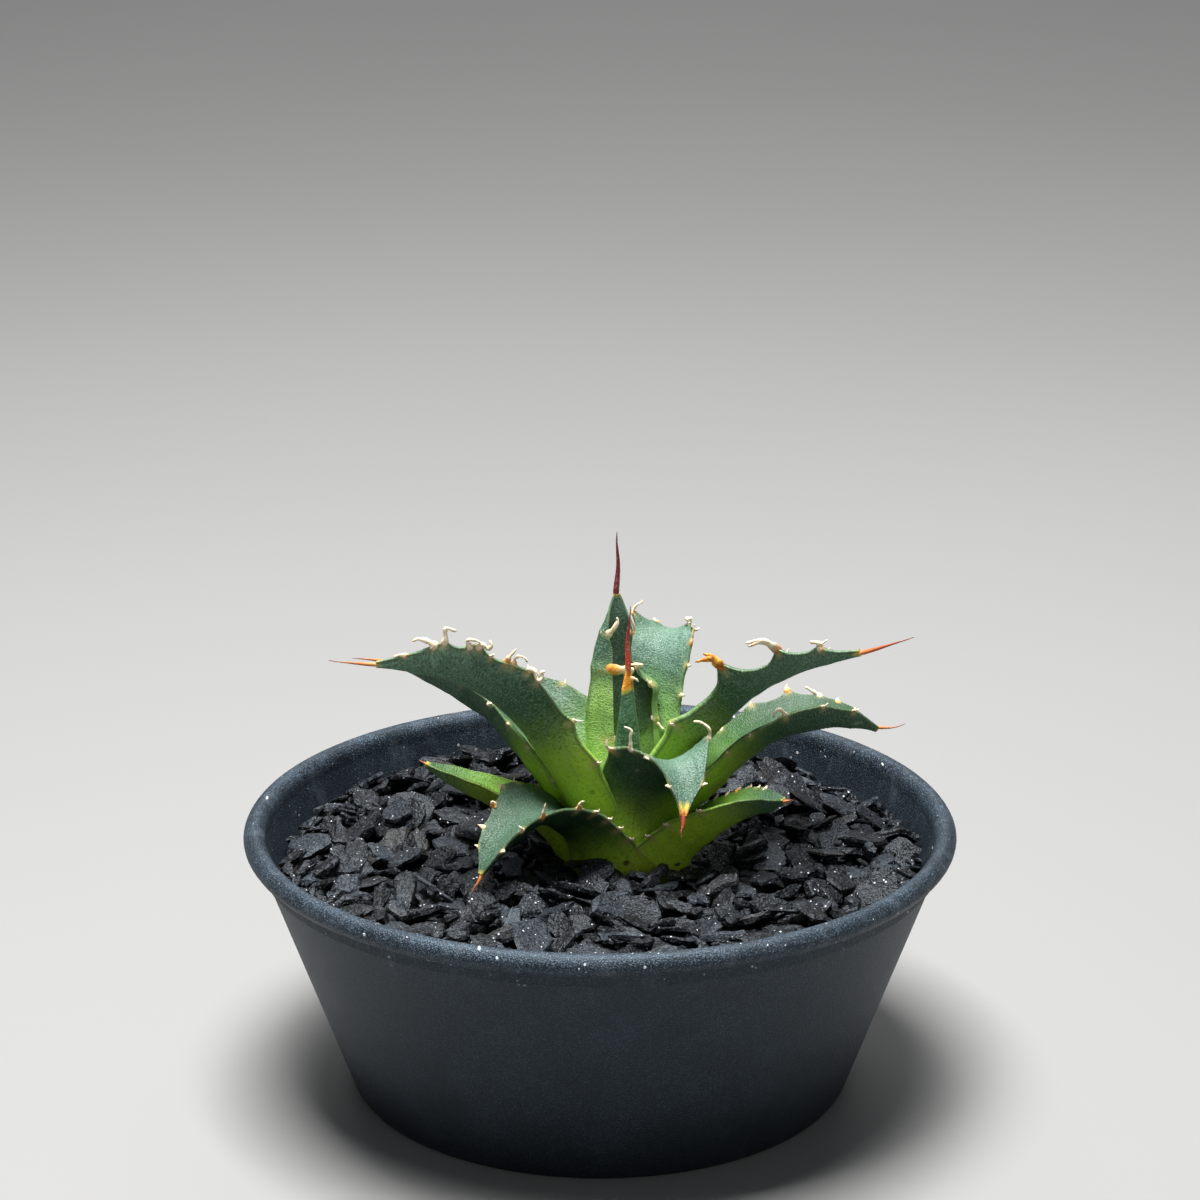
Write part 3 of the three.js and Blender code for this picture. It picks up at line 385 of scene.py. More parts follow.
class Finish:
    """A material that is built up by node()."""

    def __init__(self, name):
        self.material = bpy.data.materials.new(name)
        self.material.use_nodes = True
        self.tree = self.material.node_tree
        self.shader = next(n for n in self.tree.nodes if n.type == "BSDF_PRINCIPLED")

    def node(self, kind, settings, inputs, output=0):
        node = self.tree.nodes.new(kind)
        for key, value in settings.items():
            if key == "stops":
                self.set_stops(node.color_ramp, value)
            else:
                setattr(node, key, value)
        for key, value in inputs.items():
            self.feed(node.inputs[key], value)
        return Wire(self, node.outputs[output])

    def feed(self, socket, value):
        if isinstance(value, Wire):
            self.tree.links.new(value.socket, socket)
        elif isinstance(value, tuple) and len(value) == 3 and socket.type == "RGBA":
            socket.default_value = (*value, 1)
        else:
            socket.default_value = value

    @staticmethod
    def set_stops(ramp, stops):
        while len(ramp.elements) < len(stops):
            ramp.elements.new(0.5)
        for element, (position, colour) in zip(ramp.elements, stops):
            element.position = position
            element.color = (*colour, 1)

    def place(self):
        return self.node("ShaderNodeTexCoord", {}, {}, "Object")

    def attribute(self, name, output="Fac"):
        return self.node("ShaderNodeAttribute", {"attribute_name": name}, {}, output)

    def stretched(self, vector, scale, turn=(0, 0, 0)):
        return self.node("ShaderNodeMapping", {}, {"Vector": vector, "Rotation": turn, "Scale": scale})

    def noise(self, vector, size, detail=3, roughness=0.5):
        """Cloudy noise from 0 to 1 with lumps of about size, in the vector's unit."""
        inputs = {"Vector": vector, "Scale": 1 / size, "Detail": detail, "Roughness": roughness}
        return self.node("ShaderNodeTexNoise", {}, inputs)

    def cells(self, vector, size, randomness=1):
        """Distance to the nearest of many scattered points about size apart, as a share of size."""
        inputs = {"Vector": vector, "Scale": 1 / size, "Randomness": randomness}
        return self.node("ShaderNodeTexVoronoi", {}, inputs, "Distance")

    def ramp(self, value, stops):
        return self.node("ShaderNodeValToRGB", {"stops": stops}, {"Fac": value})

    def mix(self, share, first, second):
        return self.node("ShaderNodeMix", {"data_type": "RGBA"}, {0: share, 6: first, 7: second}, 2)

    def bump(self, height, distance, strength=1.0):
        inputs = {"Height": height, "Distance": distance, "Strength": strength}
        return self.node("ShaderNodeBump", {}, inputs)

    def done(self, **sockets):
        for name, value in sockets.items():
            self.feed(self.shader.inputs[name.replace("_", " ")], value)
        return self.material


# Finishes


def leaf_finish():
    """Waxy skin: yellow-green at the base, blue-green above, closely dotted with fine pale pores; painted
    shade darkens the faces that look down or lie in shade, and painted light brightens the outer bases and
    the rolled margins.
    """
    f = Finish("leaf_skin")
    skin = f.attribute("skin", "Vector")
    names = ("along", "across", "under", "halo", "lip", "freshness", "ripeness", "bloom")
    along, across, under, halo, lip, fresh, ripe, bloom = map(f.attribute, names)
    place = f.place()
    cloud = f.noise(place, 0.009)
    fine_cloud = f.noise(place, 0.0016, 4)
    # Painted shade: a low bloom value turns the upper and the under side dark green, for leaves that lie in
    # shade.
    waxy_and_lit = bloom.above(0.0, 0.7)
    patch = cloud.above(0.4, 0.62)
    top = f.mix(patch, (0.085, 0.17, 0.112), (0.12, 0.215, 0.158))
    top = f.mix(bloom, f.mix(patch, (0.014, 0.05, 0.016), (0.028, 0.075, 0.03)), top)
    # The under side is greener than the upper side, which is its own colour, and much darker, which is
    # painted shade on the faces that look down.
    low = f.mix(patch, (0.023, 0.095, 0.023), (0.042, 0.13, 0.044))
    low = f.mix(waxy_and_lit, f.mix(patch, (0.008, 0.04, 0.006), (0.016, 0.062, 0.013)), low)
    low = f.mix(bloom * along.above(0.42, 0.8), low, (0.12, 0.23, 0.145))
    upper = f.mix(under, top, low)
    waxed = (along + 0.2 * cloud - 0.6 * fresh).above(0.12, 0.54)
    # At the base, the inner faces get a darker green, painted shade deep in the rosette, and the outer faces
    # a yellow-green brighter than the leaf's own, painted light shining through the flesh.
    inner_green_in_shade = f.mix(bloom, (0.07, 0.18, 0.02), (0.28, 0.54, 0.06))
    green = f.mix(under, inner_green_in_shade, (0.6, 0.95, 0.05))
    green = f.mix(fresh * (0.1 + 0.3 * under), green, (0.4, 0.56, 0.03))
    body = f.mix(waxed, green, upper)
    # Painted highlight: the rolled margins are paler yellow-green where the rolls catch the light.
    body = f.mix(lip * 0.75, body, (0.34, 0.54, 0.1))
    foot = (along + 0.1 * cloud).above(0.24, 0.08)
    body = f.mix(foot * (0.5 + 0.5 * fresh) * (0.4 + 0.6 * under), body, (0.5, 0.51, 0.055))
    grain = f.noise(skin, 0.34, 1.5)
    pore = f.cells(f.stretched(skin, (1, 0.8, 1)), 0.46, 0.8)
    dots = grain.above(0.52, 0.7) * (0.12 + 0.4 * waxed) * (0.3 + 0.7 * waxy_and_lit)
    body = f.mix(dots, body, (0.3, 0.42, 0.33))
    body = f.mix(grain.above(0.48, 0.3) * (0.3 + 0.35 * waxed), body, (0.012, 0.05, 0.014))
    body = f.mix(pore.above(0.3, 0.12) * 0.3 * waxed * waxy_and_lit, body, (0.42, 0.54, 0.44))
    streak = f.noise(f.stretched(skin, (1, 0.1, 1)), 0.9, 2).above(0.5, 0.7)
    body = f.mix(streak * 0.14, body, (0.03, 0.1, 0.03))
    rim = abs(across).above(0.955, 1.0)
    body = f.mix(rim * 0.16, body, (0.34, 0.48, 0.17))
    scar = f.cells(f.stretched(skin, (1, 0.3, 1)), 7.0).above(0.1, 0.05) * cloud.above(0.5, 0.6)
    body = f.mix(scar * 0.5, body, (0.5, 0.56, 0.4))
    body = f.mix((halo * 0.7).clamped(), body, (0.62, 0.5, 0.2))
    orange = (ripe + 0.5 * fine_cloud - 0.25).above(0.5, 1.0)
    ripe_flesh = f.mix(orange, (0.7, 0.56, 0.1), (0.78, 0.3, 0.03))
    ripe_edge = (ripe + 0.5 * fine_cloud + 0.4 * streak - 0.35).above(0.05, 0.7) * ripe.above(0.0, 0.3)
    body = f.mix(ripe_edge, body, ripe_flesh)
    spots = f.cells(place, 0.0046).above(0.2, 0.1) * along.above(0.26, 0.12)
    body = f.mix(spots * 0.85, body, (0.07, 0.035, 0.012))
    height = 0.9 * grain + 0.3 * streak + 0.5 * fine_cloud
    return f.done(
        Base_Color=body,
        Roughness=0.38 + 0.2 * fine_cloud,
        Specular_IOR_Level=0.36,
        Normal=f.bump(height, 0.0002),
    )


def tooth_finish():
    """Dry, horny teeth and threads: orange at the foot, cream further out, brown at the very point."""
    f = Finish("leaf_tooth")
    place = f.place()
    reach = f.attribute("reach")
    pale = f.attribute("pale")
    fleck = f.noise(place, 0.0006, 4)
    orange = f.mix(fleck.above(0.4, 0.6), (0.95, 0.46, 0.05), (0.75, 0.22, 0.025))
    cream = f.mix(fleck.above(0.4, 0.65), (1.0, 0.88, 0.66), (0.82, 0.62, 0.36))
    dried = (pale + (reach - 0.5) * pale * 1.2 + 0.4 * fleck - 0.2).above(0.35, 0.65)
    body = f.mix(dried, orange, cream)
    body = f.mix(reach.above(0.9, 1.0) * (1 - pale) * 0.8, body, (0.14, 0.05, 0.03))
    return f.done(Base_Color=body, Roughness=0.5 + 0.2 * fleck, Normal=f.bump(fleck, 0.0001, 0.8))


def spine_finish():
    """The hard end spines: orange where they leave the leaf, then red, dark and dry at the point."""
    f = Finish("end_spine")
    place = f.place()
    reach = f.attribute("reach")
    red = f.attribute("redness")
    fleck = f.noise(place, 0.0005, 4)
    orange = f.ramp(reach, [
        (0.0, (0.8, 0.45, 0.12)),
        (0.35, (0.6, 0.2, 0.04)),
        (1.0, (0.16, 0.05, 0.03)),
    ])
    crimson = f.ramp(reach, [
        (0.0, (0.75, 0.28, 0.03)),
        (0.16, (0.62, 0.05, 0.02)),
        (0.6, (0.36, 0.015, 0.015)),
        (1.0, (0.16, 0.03, 0.03)),
    ])
    maroon = f.mix(fleck, (0.12, 0.008, 0.02), (0.24, 0.02, 0.04))
    body = f.mix(red.above(0.2, 0.7), orange, crimson)
    body = f.mix(red.above(0.8, 1.0) * 0.85, body, maroon)
    body = f.mix(fleck.above(0.54, 0.64) * 0.45, body, (0.6, 0.34, 0.32))
    body = f.mix(reach.above(0.96, 1.0) * 0.6, body, (0.55, 0.45, 0.38))
    return f.done(Base_Color=body, Roughness=0.3 + 0.25 * fleck, Normal=f.bump(fleck, 0.00008, 0.6))


def pan_finish():
    """Black moulded plastic with a fine bluish sparkle of painted glints, dust on the rim and pale scuffs
    inside.
    """
    f = Finish("pan_plastic")
    place = f.place()
    height = f.node("ShaderNodeSeparateXYZ", {}, {"Vector": place}, "Z") * 1000.0
    rim = height.above(50.0, 56.5)
    grain = f.noise(place, 0.0003, 1)
    cloud = f.noise(place, 0.012, 4, 0.6)
    body = f.mix(cloud, (0.005, 0.0065, 0.009), (0.009, 0.012, 0.017))
    # Painted glints: fine pale bluish specks, more of them on the rim.
    glint_specks = (grain + 0.25 * cloud).above(0.6, 0.85)
    body = f.mix(glint_specks * (0.3 + 0.5 * rim), body, (0.1, 0.145, 0.19))
    scuff = f.noise(f.stretched(place, (1, 1, 0.4)), 0.005, 5, 0.7).above(0.5, 0.7)
    body = f.mix(scuff * height.above(44.0, 54.0) * 0.28, body, (0.12, 0.14, 0.165))
    dust = f.cells(place, 0.0024).above(0.1, 0.05) * f.noise(place, 0.014).above(0.42, 0.6)
    lint = f.cells(f.stretched(place, (1, 0.3, 1), (0, 0, 0.8)), 0.0045).above(0.075, 0.05)
    more_lint = f.cells(f.stretched(place, (1, 0.3, 1), (0, 0, 2.3)), 0.0045).above(0.075, 0.05)
    dust = (dust + lint + more_lint).clamped() * height.above(47.0, 55.0)
    body = f.mix(dust * 0.9, body, (0.62, 0.65, 0.67))
    return f.done(
        Base_Color=body,
        Roughness=0.46 + 0.14 * cloud + 0.2 * dust,
        Specular_Tint=(0.68, 0.85, 1.0),
        Normal=f.bump(grain + 0.4 * cloud + 0.5 * dust, 0.00016),
    )


def chip_finish():
    """Dark slate: crusty charcoal, bluish on some flakes, with glints on its broken faces."""
    f = Finish("slate_chip")
    place = f.place()
    tone = f.attribute("tone")
    crust = f.noise(place, 0.00048, 1.5, 0.6)
    layer = f.noise(f.stretched(place, (1, 1, 4)), 0.0024, 2, 0.6)
    body = f.ramp(tone, [
        (0.0, (0.006, 0.006, 0.0065)),
        (0.5, (0.013, 0.013, 0.0135)),
        (0.7, (0.019, 0.0215, 0.025)),
        (0.9, (0.042, 0.05, 0.06)),
        (0.97, (0.024, 0.02, 0.016)),
    ])
    body = f.mix(layer.above(0.5, 0.68) * 0.5, body, (0.045, 0.052, 0.062))
    body = f.mix(crust.above(0.5, 0.36) * 0.8, body, (0.002, 0.002, 0.0025))
    # Pale bluish grains: partly the stone's own grain and partly painted highlights.
    body = f.mix(crust.above(0.55, 0.7) * 0.45, body, (0.12, 0.135, 0.155))
    glint = f.cells(place, 0.0013).above(0.2, 0.1) * f.noise(place, 0.0025, 2).above(0.52, 0.6)
    body = f.mix(glint * 0.9, body, (0.8, 0.82, 0.85))
    return f.done(
        Base_Color=body,
        Roughness=0.24 + 0.35 * crust - 0.1 * glint,
        Normal=f.bump(crust + 0.6 * layer, 0.00026),
        Specular_IOR_Level=0.2,
        Specular_Tint=(0.82, 0.92, 1.0),
    )


def soil_finish():
    """Crumbly dark growing mix with bits of bark and pale grit."""
    f = Finish("growing_mix")
    place = f.place()
    crumb = f.noise(place, 0.0022, 5, 0.65)
    grit = f.cells(place, 0.0034).above(0.2, 0.1)
    body = f.ramp(crumb, [
        (0.3, (0.012, 0.009, 0.007)),
        (0.6, (0.05, 0.034, 0.022)),
        (0.8, (0.11, 0.08, 0.05)),
    ])
    body = f.mix(grit * 0.5, body, (0.3, 0.28, 0.25))
    return f.done(Base_Color=body, Roughness=0.85 + 0.1 * crumb, Normal=f.bump(crumb, 0.0012, 0.9))


def stem_finish():
    """Pale, dry and fibrous stem and roots."""
    f = Finish("stem_fibre")
    place = f.place()
    fibre = f.noise(f.stretched(place, (1, 1, 0.15)), 0.0012, 4, 0.6)
    body = f.ramp(fibre, [
        (0.3, (0.1, 0.075, 0.03)),
        (0.5, (0.3, 0.25, 0.1)),
        (0.75, (0.5, 0.44, 0.24)),
    ])
    return f.done(Base_Color=body, Roughness=0.7 + 0.15 * fibre, Normal=f.bump(fibre, 0.0004, 0.8))


def floor_finish():
    """A plain, pale, matt studio floor."""
    f = Finish("studio_floor")
    haze = f.noise(f.place(), 0.4, 2)
    body = f.mix(haze, (0.27, 0.268, 0.262), (0.29, 0.288, 0.282))
    return f.done(Base_Color=body, Roughness=0.7)


# Modelling tools


def deselect():
    if bpy.context.object and bpy.context.object.mode != "OBJECT":
        bpy.ops.object.mode_set(mode="OBJECT")
    bpy.ops.object.select_all(action="DESELECT")


def active(piece):
    deselect()
    bpy.context.view_layer.objects.active = piece
    piece.select_set(True)


def new_piece(name):
    piece = bpy.context.object
    piece.name = name
    piece.data.name = name
    return piece


def coordinates(piece):
    mesh = piece.data
    values = np.empty(3 * len(mesh.vertices), np.float32)
    mesh.vertices.foreach_get("co", values)
    return values.reshape(-1, 3).astype(float)


def move_points(piece, points):
    piece.data.vertices.foreach_set("co", np.asarray(points, np.float32).ravel())
    piece.data.update()


def set_attribute(piece, name, values, kind="FLOAT"):
    attribute = piece.data.attributes.new(name, kind, "POINT")
    count = len(piece.data.vertices)
    field, shape = ("vector", (count, 3)) if kind == "FLOAT_VECTOR" else ("value", count)
    values = np.broadcast_to(values, shape)
    attribute.data.foreach_set(field, np.ascontiguousarray(values, np.float32).ravel())


def edit(piece):
    active(piece)
    bpy.ops.object.mode_set(mode="EDIT")
    bpy.ops.mesh.select_mode(type="VERT")
    bpy.ops.mesh.select_all(action="SELECT")


def join(pieces, name):
    deselect()
    for piece in pieces:
        piece.select_set(True)
    bpy.context.view_layer.objects.active = pieces[0]
    bpy.ops.object.join()
    return new_piece(name)


def coat(piece, finish):
    piece.data.materials.clear()
    piece.data.materials.append(finish)


def smooth(piece, sharpest):
    """Smooth shading wherever faces meet at less than this many degrees."""
    active(piece)
    bpy.ops.object.shade_smooth_by_angle(angle=math.radians(sharpest))


def face_outward():
    bpy.ops.mesh.select_all(action="SELECT")
    bpy.ops.mesh.normals_make_consistent(inside=False)
    deselect()


def declare(piece, node):
    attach(piece, "root")
    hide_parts(node)


def mix(first, second, share):
    return first + (second - first) * share


def bezier(points, shares):
    """The curve of these control points at each share, one row for each."""
    rows = [np.outer(np.ones(len(shares)), point) for point in points]
    share = np.asarray(shares, float)[:, None]
    while len(rows) > 1:
        rows = [a * (1 - share) + b * share for a, b in zip(rows, rows[1:])]
    return rows[0]


def unit(rows):
    return rows / np.linalg.norm(rows, axis=-1, keepdims=True)


def eased(share):
    """From 0 to 1 with a slow start and end."""
    share = np.clip(share, 0, 1)
    return share * share * (3 - 2 * share)


# Leaves


def leaf_frames(leaf, along):
    """The midrib's places and the directions along, across and out of the blade, in millimetres."""
    azimuth = math.radians(leaf["azimuth"])
    out = np.array([math.cos(azimuth), math.sin(azimuth), 0])
    sideways = np.array([-math.sin(azimuth), math.cos(azimuth), 0])
    axes = np.array([out, [0, 0, 1], sideways])
    centre = bezier(leaf["line"], along) @ axes + np.array([*PLANT, CHIP_LEVEL])
    step = 0.001
    ahead = bezier(leaf["line"], np.clip(along + step, 0, 1))
    behind = bezier(leaf["line"], np.clip(along - step, 0, 1))
    forward = unit((ahead - behind) @ axes)
    level = unit(sideways - (forward @ sideways)[:, None] * forward)
    upright = np.cross(forward, level)
    turn = np.radians(mix(*leaf["twist"], along))[:, None]
    side = level * np.cos(turn) + upright * np.sin(turn)
    face = upright * np.cos(turn) - level * np.sin(turn)
    return centre, forward, side, face


def swellings(leaf, along, side):
    """How far the swellings under the teeth of one margin stand out, at each share along."""
    total = np.zeros(len(along))
    for where, tooth_side, swelling, *_ in leaf["teeth"]:
        if tooth_side == side:
            reach = np.abs(along - where) / leaf["lobe"][0]
            total += swelling * np.exp(-(reach ** SWELLING_POWER))
    return total


def to_tip(along):
    """0 over most of the leaf, and from 0 to 1 along its tip."""
    return np.clip((along - 1 + TIP_SHARE) / TIP_SHARE, 0, 1)


def half_width(leaf, along, side=0):
    """Half the blade's width, and with a side, with that margin's swellings."""
    base, widest, tip = leaf["half_width"]
    at = leaf["widest_at"]
    above = np.clip((along - at) / (1 - at), 0, 1)
    below = np.clip((at - along) / at, 0, 1)
    # A taper under 1 would start with a kink at the widest place, so its start is rounded.
    if leaf["taper"] < 1:
        above = 1.12 * above ** 2 / (above + 0.12)
    width = np.where(
        along > at,
        tip + (widest - tip) * (1 - above ** leaf["taper"]),
        widest - (widest - base) * below ** 2,
    )
    for where, shoulder_side, sideways, spread in leaf["shoulders"]:
        if shoulder_side == side:
            width = width + sideways * np.exp(-((along - where) / spread) ** 2)
    if side:
        width = width + swellings(leaf, along, side)
    return width * (1 - TIP_NARROWING * to_tip(along) ** 2)


def by_side(across, pair):
    """The value of the pair for the margin that each place across leans to."""
    return np.where(across < 0, pair[0], pair[1])


def section(leaf, along, across):
    """At shares along and across the blade: the way sideways, the upper face's height, the thickness."""
    reach = by_side(across, [half_width(leaf, along, side) for side in SIDES])
    swell = by_side(across, [swellings(leaf, along, side) for side in SIDES])
    tip = to_tip(along)
    share = np.abs(across)
    gutter = mix(mix(*leaf["gutter"], along), TIP_GUTTER, tip)
    thickness = mix(mix(*leaf["thickness"], along), TIP_THICKNESS, tip)
    margin = mix(mix(*leaf["margin"], eased((along - 0.4) / 0.3)), TIP_MARGIN, tip)
    roll = by_side(across, leaf["roll"]) * np.clip((1 - along) * 4, 0, 1)
    sideways = reach * by_side(across, SIDES) * (share * (1 + 0.6 * roll) - 1.3 * roll * share ** ROLL_POWER)
    rise = gutter * half_width(leaf, along) * share ** GUTTER_POWER
    rise = rise + leaf["lobe"][1] * swell * (1 - tip) * share ** 3
    # A low ridge along each half of the face, the print that a neighbour's toothed margin left in the bud
    imprint = 0.7 + 0.06 * by_side(across, [swellings(leaf, along + 0.06, side) for side in SIDES])
    mark = IMPRINT_HEIGHT * np.exp(-((share - imprint) / IMPRINT_WIDTH) ** 2)
    rise = rise + mark * eased((along - 0.25) * 4) * (1 - tip)
    thickness = thickness + leaf["heel"] * np.exp(-((along / HEEL_SHARE) ** 2))
    depth = mix(margin, np.maximum(thickness, margin), 1 - share ** BELLY_POWER)
    return sideways, rise, depth


def blade_stations():
    """The places round a section: (share across, side of the edge, angle round it, on the under side)."""
    # Closer together toward the margins
    spread = np.linspace(-1, 1, FACE_CELLS + 1)
    spread = spread * (1.5 - 0.5 * spread ** 2)
    turn = np.linspace(90, -90, EDGE_CELLS + 1)[1:-1]
    stations = [(u, 0, 0, 0) for u in spread]
    stations += [(1, 1, angle, 0.5) for angle in turn]
    stations += [(u, 0, 0, 1) for u in spread[::-1]]
    stations += [(-1, -1, angle, 0.5) for angle in turn[::-1]]
    stations.append(stations[0])
    return np.array(stations)


def blade_points(leaf, along, station):
    """Where each point of the blade's skin lies, from its share along and its station round the section."""
    centre, _, side, face = leaf_frames(leaf, along)
    across, edge, angle, under = station.T
    sideways, rise, depth = section(leaf, along, across)
    angle = np.radians(angle)
    x = sideways + edge * depth / 2 * np.cos(angle)
    y = rise - np.where(under == 1, depth, 0) + np.where(edge != 0, depth / 2 * (np.sin(angle) - 1), 0)
    return centre + x[:, None] * side + y[:, None] * face, x, face


def margin_point(leaf, where, sign, inset):
    """The middle of the blade's thickness, inset from one margin, and the blade's directions there."""
    at = np.array([where])
    centre, forward, side, face = (row[0] for row in leaf_frames(leaf, at))
    across = sign * (1 - inset / half_width(leaf, at, sign))
    sideways, rise, depth = (value[0] for value in section(leaf, at, across))
    return centre + sideways * side + (rise - depth / 2) * face, forward, side * sign, face


def weathered(points, face, leaf_number, amount):
    """The points moved in and out along the face by a slow and a finer unevenness."""
    away = Vector((0, 0, 9.7 * leaf_number))
    slow = np.array([noise.noise(Vector(p) * 0.11 + away) for p in points])
    fine = np.array([noise.noise(Vector(p) * 0.42 + away) for p in points])
    return points + (slow + 0.22 * fine)[:, None] * amount * face


def make_blade(leaf, number):
    """A grid bent into a closed blade: its sides meet along one margin, and its two ends are filled."""
    deselect()
    stations = blade_stations()
    around = len(stations) - 1
    bpy.ops.mesh.primitive_grid_add(x_subdivisions=around, y_subdivisions=BLADE_RINGS, size=1)
    blade = new_piece(leaf["name"] + "_blade")
    flat = coordinates(blade) + 0.5
    along = np.clip(flat[:, 1], 0, 1)
    station = stations[np.rint(flat[:, 0] * around).astype(int)]
    across, under = station[:, 0], station[:, 3]
    points, x, face = blade_points(leaf, along, station)
    points = weathered(points, face, number, UNEVENNESS * np.clip((1 - along) * 3, 0.1, 1)[:, None])
    move_points(blade, points * MM)
    length = np.linalg.norm(np.diff(bezier(leaf["line"], np.linspace(0, 1, 60)), axis=0), axis=1).sum()
    halo = np.zeros(len(points))
    for where, sign, *_ in leaf["teeth"]:
        inward = (across - sign) * leaf["half_width"][1]
        distance = np.hypot((along - where) * length, inward)
        halo = np.maximum(halo, np.exp(-(distance / HALO_REACH) ** 2))
    # The rolled margins' painted highlight, paler where the rolls catch the light.
    lip = by_side(across, leaf["roll"]) * eased((np.abs(across) - 0.45) / 0.4) * eased((0.75 - along) * 5)
    ripeness = np.clip((along - leaf["ripe"]) / 0.06 + 0.5, 0, 1)
    # The bloom value carries painted shade as well as the wax: low on the faces of leaves that lie in shade.
    values = dict(
        along=along, across=across, under=under, halo=halo, lip=lip, ripeness=ripeness,
        freshness=leaf["freshness"], bloom=mix(*leaf["bloom"], under),
    )
    for name, value in values.items():
        set_attribute(blade, name, value)
    skin = np.stack([x, along * length, 40.0 * number + 20 * under], 1)
    set_attribute(blade, "skin", skin, "FLOAT_VECTOR")
    edit(blade)
    bpy.ops.mesh.remove_doubles(threshold=0.00001)
    bpy.ops.mesh.fill_holes(sides=0)
    bpy.ops.mesh.normals_make_consistent(inside=False)
    smooth(blade, 50)
    return blade


def make_barb():
    """One straight, closed barb along Z from 0 to 1, with a radius of 1, that teeth and spines copy."""
    deselect()
    bpy.ops.mesh.primitive_circle_add(vertices=BARB_SIDES, radius=1, fill_type="TRIFAN")
    barb = new_piece("barb")
    edit(barb)
    for _ in range(BARB_STEPS):
        bpy.ops.mesh.extrude_region_move(TRANSFORM_OT_translate={"value": (0, 0, 1 / BARB_STEPS)})
    face_outward()
    return barb


def smooth_path(points, count):
    """A smooth line through these points, at even shares."""
    points = np.asarray(points, float)
    ends = np.concatenate([[2 * points[0] - points[1]], points, [2 * points[-1] - points[-2]]])
    spans = len(points) - 1
    rows = []
    for share in np.linspace(0, spans, count):
        k = min(int(share), spans - 1)
        t = share - k
        a, b, c, d = ends[k:k + 4]
        bow = (2 * a - 5 * b + 4 * c - d) * t ** 2
        swing = (3 * b - a - 3 * c + d) * t ** 3
        rows.append(0.5 * (2 * b + (c - a) * t + bow + swing))
    return np.array(rows)


def bend_barb(barb, name, path, first_side, widths):
    """A copy of the barb along a path; widths(share) gives its half widths to the side and across that."""
    piece = barb.copy()
    piece.data = barb.data.copy()
    piece.name = name
    bpy.context.scene.collection.objects.link(piece)
    flat = coordinates(piece)
    rings = np.rint(flat[:, 2] * BARB_STEPS).astype(int)
    line = smooth_path(path, BARB_STEPS + 1)
    forward = unit(np.gradient(line, axis=0))
    side = np.array(first_side, float)
    sides = []
    for direction in forward:
        side = unit(side - direction * (side @ direction))
        sides.append(side)
    sides = np.array(sides)
    up = np.cross(forward, sides)
    share = rings / BARB_STEPS
    wide, thin = widths(share)
    points = line[rings]
    points = points + (flat[:, 0] * wide)[:, None] * sides[rings] + (flat[:, 1] * thin)[:, None] * up[rings]
    move_points(piece, points * MM)
    set_attribute(piece, "reach", share)
    return piece


def make_tooth(barb, leaf, tooth, index):
    """One tooth of the margin, with its foot sunk in the leaf, and its threads if it splits."""
    where, sign, _, kind, *points = tooth
    foot, stem, end, waist, pale, *fork = TOOTH_KINDS[kind]
    root = margin_point(leaf, where, sign, TOOTH_ROOT)[0]
    start = margin_point(leaf, where, sign, 0.1)[0]
    edge, forward, outward, face = margin_point(leaf, where, sign, 0)
    if len(points) > 1:
        path = [root, start] + [edge + np.array(point) for point in points]
    else:
        out, alongside, up = points[0]
        point = edge + outward * out + face * up + forward * alongside
        bend = edge + outward * (abs(out) * 0.6 + 0.3) + face * up * 0.3 + forward * alongside * 0.25
        path = [root, start, bend, point]

    # From foot to stem to a rounded end, and a little uneven all the way
    def widths(share):
        bend = share * (len(path) - 1)
        fall = eased((bend - 1) / waist)
        grow = mix(0.3, 1.0, eased(bend))
        beyond = np.clip((bend - 1 - waist) / (len(path) - 2 - waist), 0, 1)
        rounded = np.sqrt(np.clip(1 - np.clip((share - 0.93) / 0.07, 0, 1) ** 2, 0.03, 1))
        uneven = 1 + 0.16 * np.sin(share * 17 + index)
        return [
            mix(at_foot * grow, mix(at_stem, at_end, beyond) * uneven, fall) * rounded
            for at_foot, at_stem, at_end in zip(foot, stem, end)
        ]

    name = f"{leaf['name']}_tooth_{index}"
    pieces = [bend_barb(barb, name, path, forward, widths)]
    for spread in fork:
        middle = len(path) // 2 + 1
        second = path[:middle] + [p + np.array(spread) * (k + 1) for k, p in enumerate(path[middle:])]
        pieces.append(bend_barb(barb, name + "_strand", second, forward, widths))
    for piece in pieces:
        set_attribute(piece, "pale", pale)
    return pieces


def make_spine(barb, leaf):
    """The leaf's end spine, its foot sunk a little in the leaf's tip."""
    length, radius, lift, lean, redness = leaf["spine"]
    centre, forward, side, face = (row[0] for row in leaf_frames(leaf, np.array([1.0])))
    start = centre - face * TIP_THICKNESS * 0.5
    point = start + forward * length + face * lift + side * lean
    bend = start + forward * length / 2 + face * lift / 4
    shares = np.linspace(0, 1, SPINE_POINTS)
    wave = np.sin(shares * 8 + length)[:, None] * 0.16 * side
    path = bezier([start - forward * SPINE_ROOT, bend, point], shares) + wave

    # Narrow where it leaves the leaf, and the redder, the fuller out to the point
    def widths(share):
        thick = radius * (1 - share) ** mix(1.7, 0.95, redness) * np.clip(0.7 + 3 * share, 0, 1.12)
        return thick + SPINE_TIP, thick + SPINE_TIP

    spine = bend_barb(barb, leaf["name"].replace("leaf", "spine") + "_horn", path, side, widths)
    set_attribute(spine, "redness", redness)
    smooth(spine, 50)
    return spine


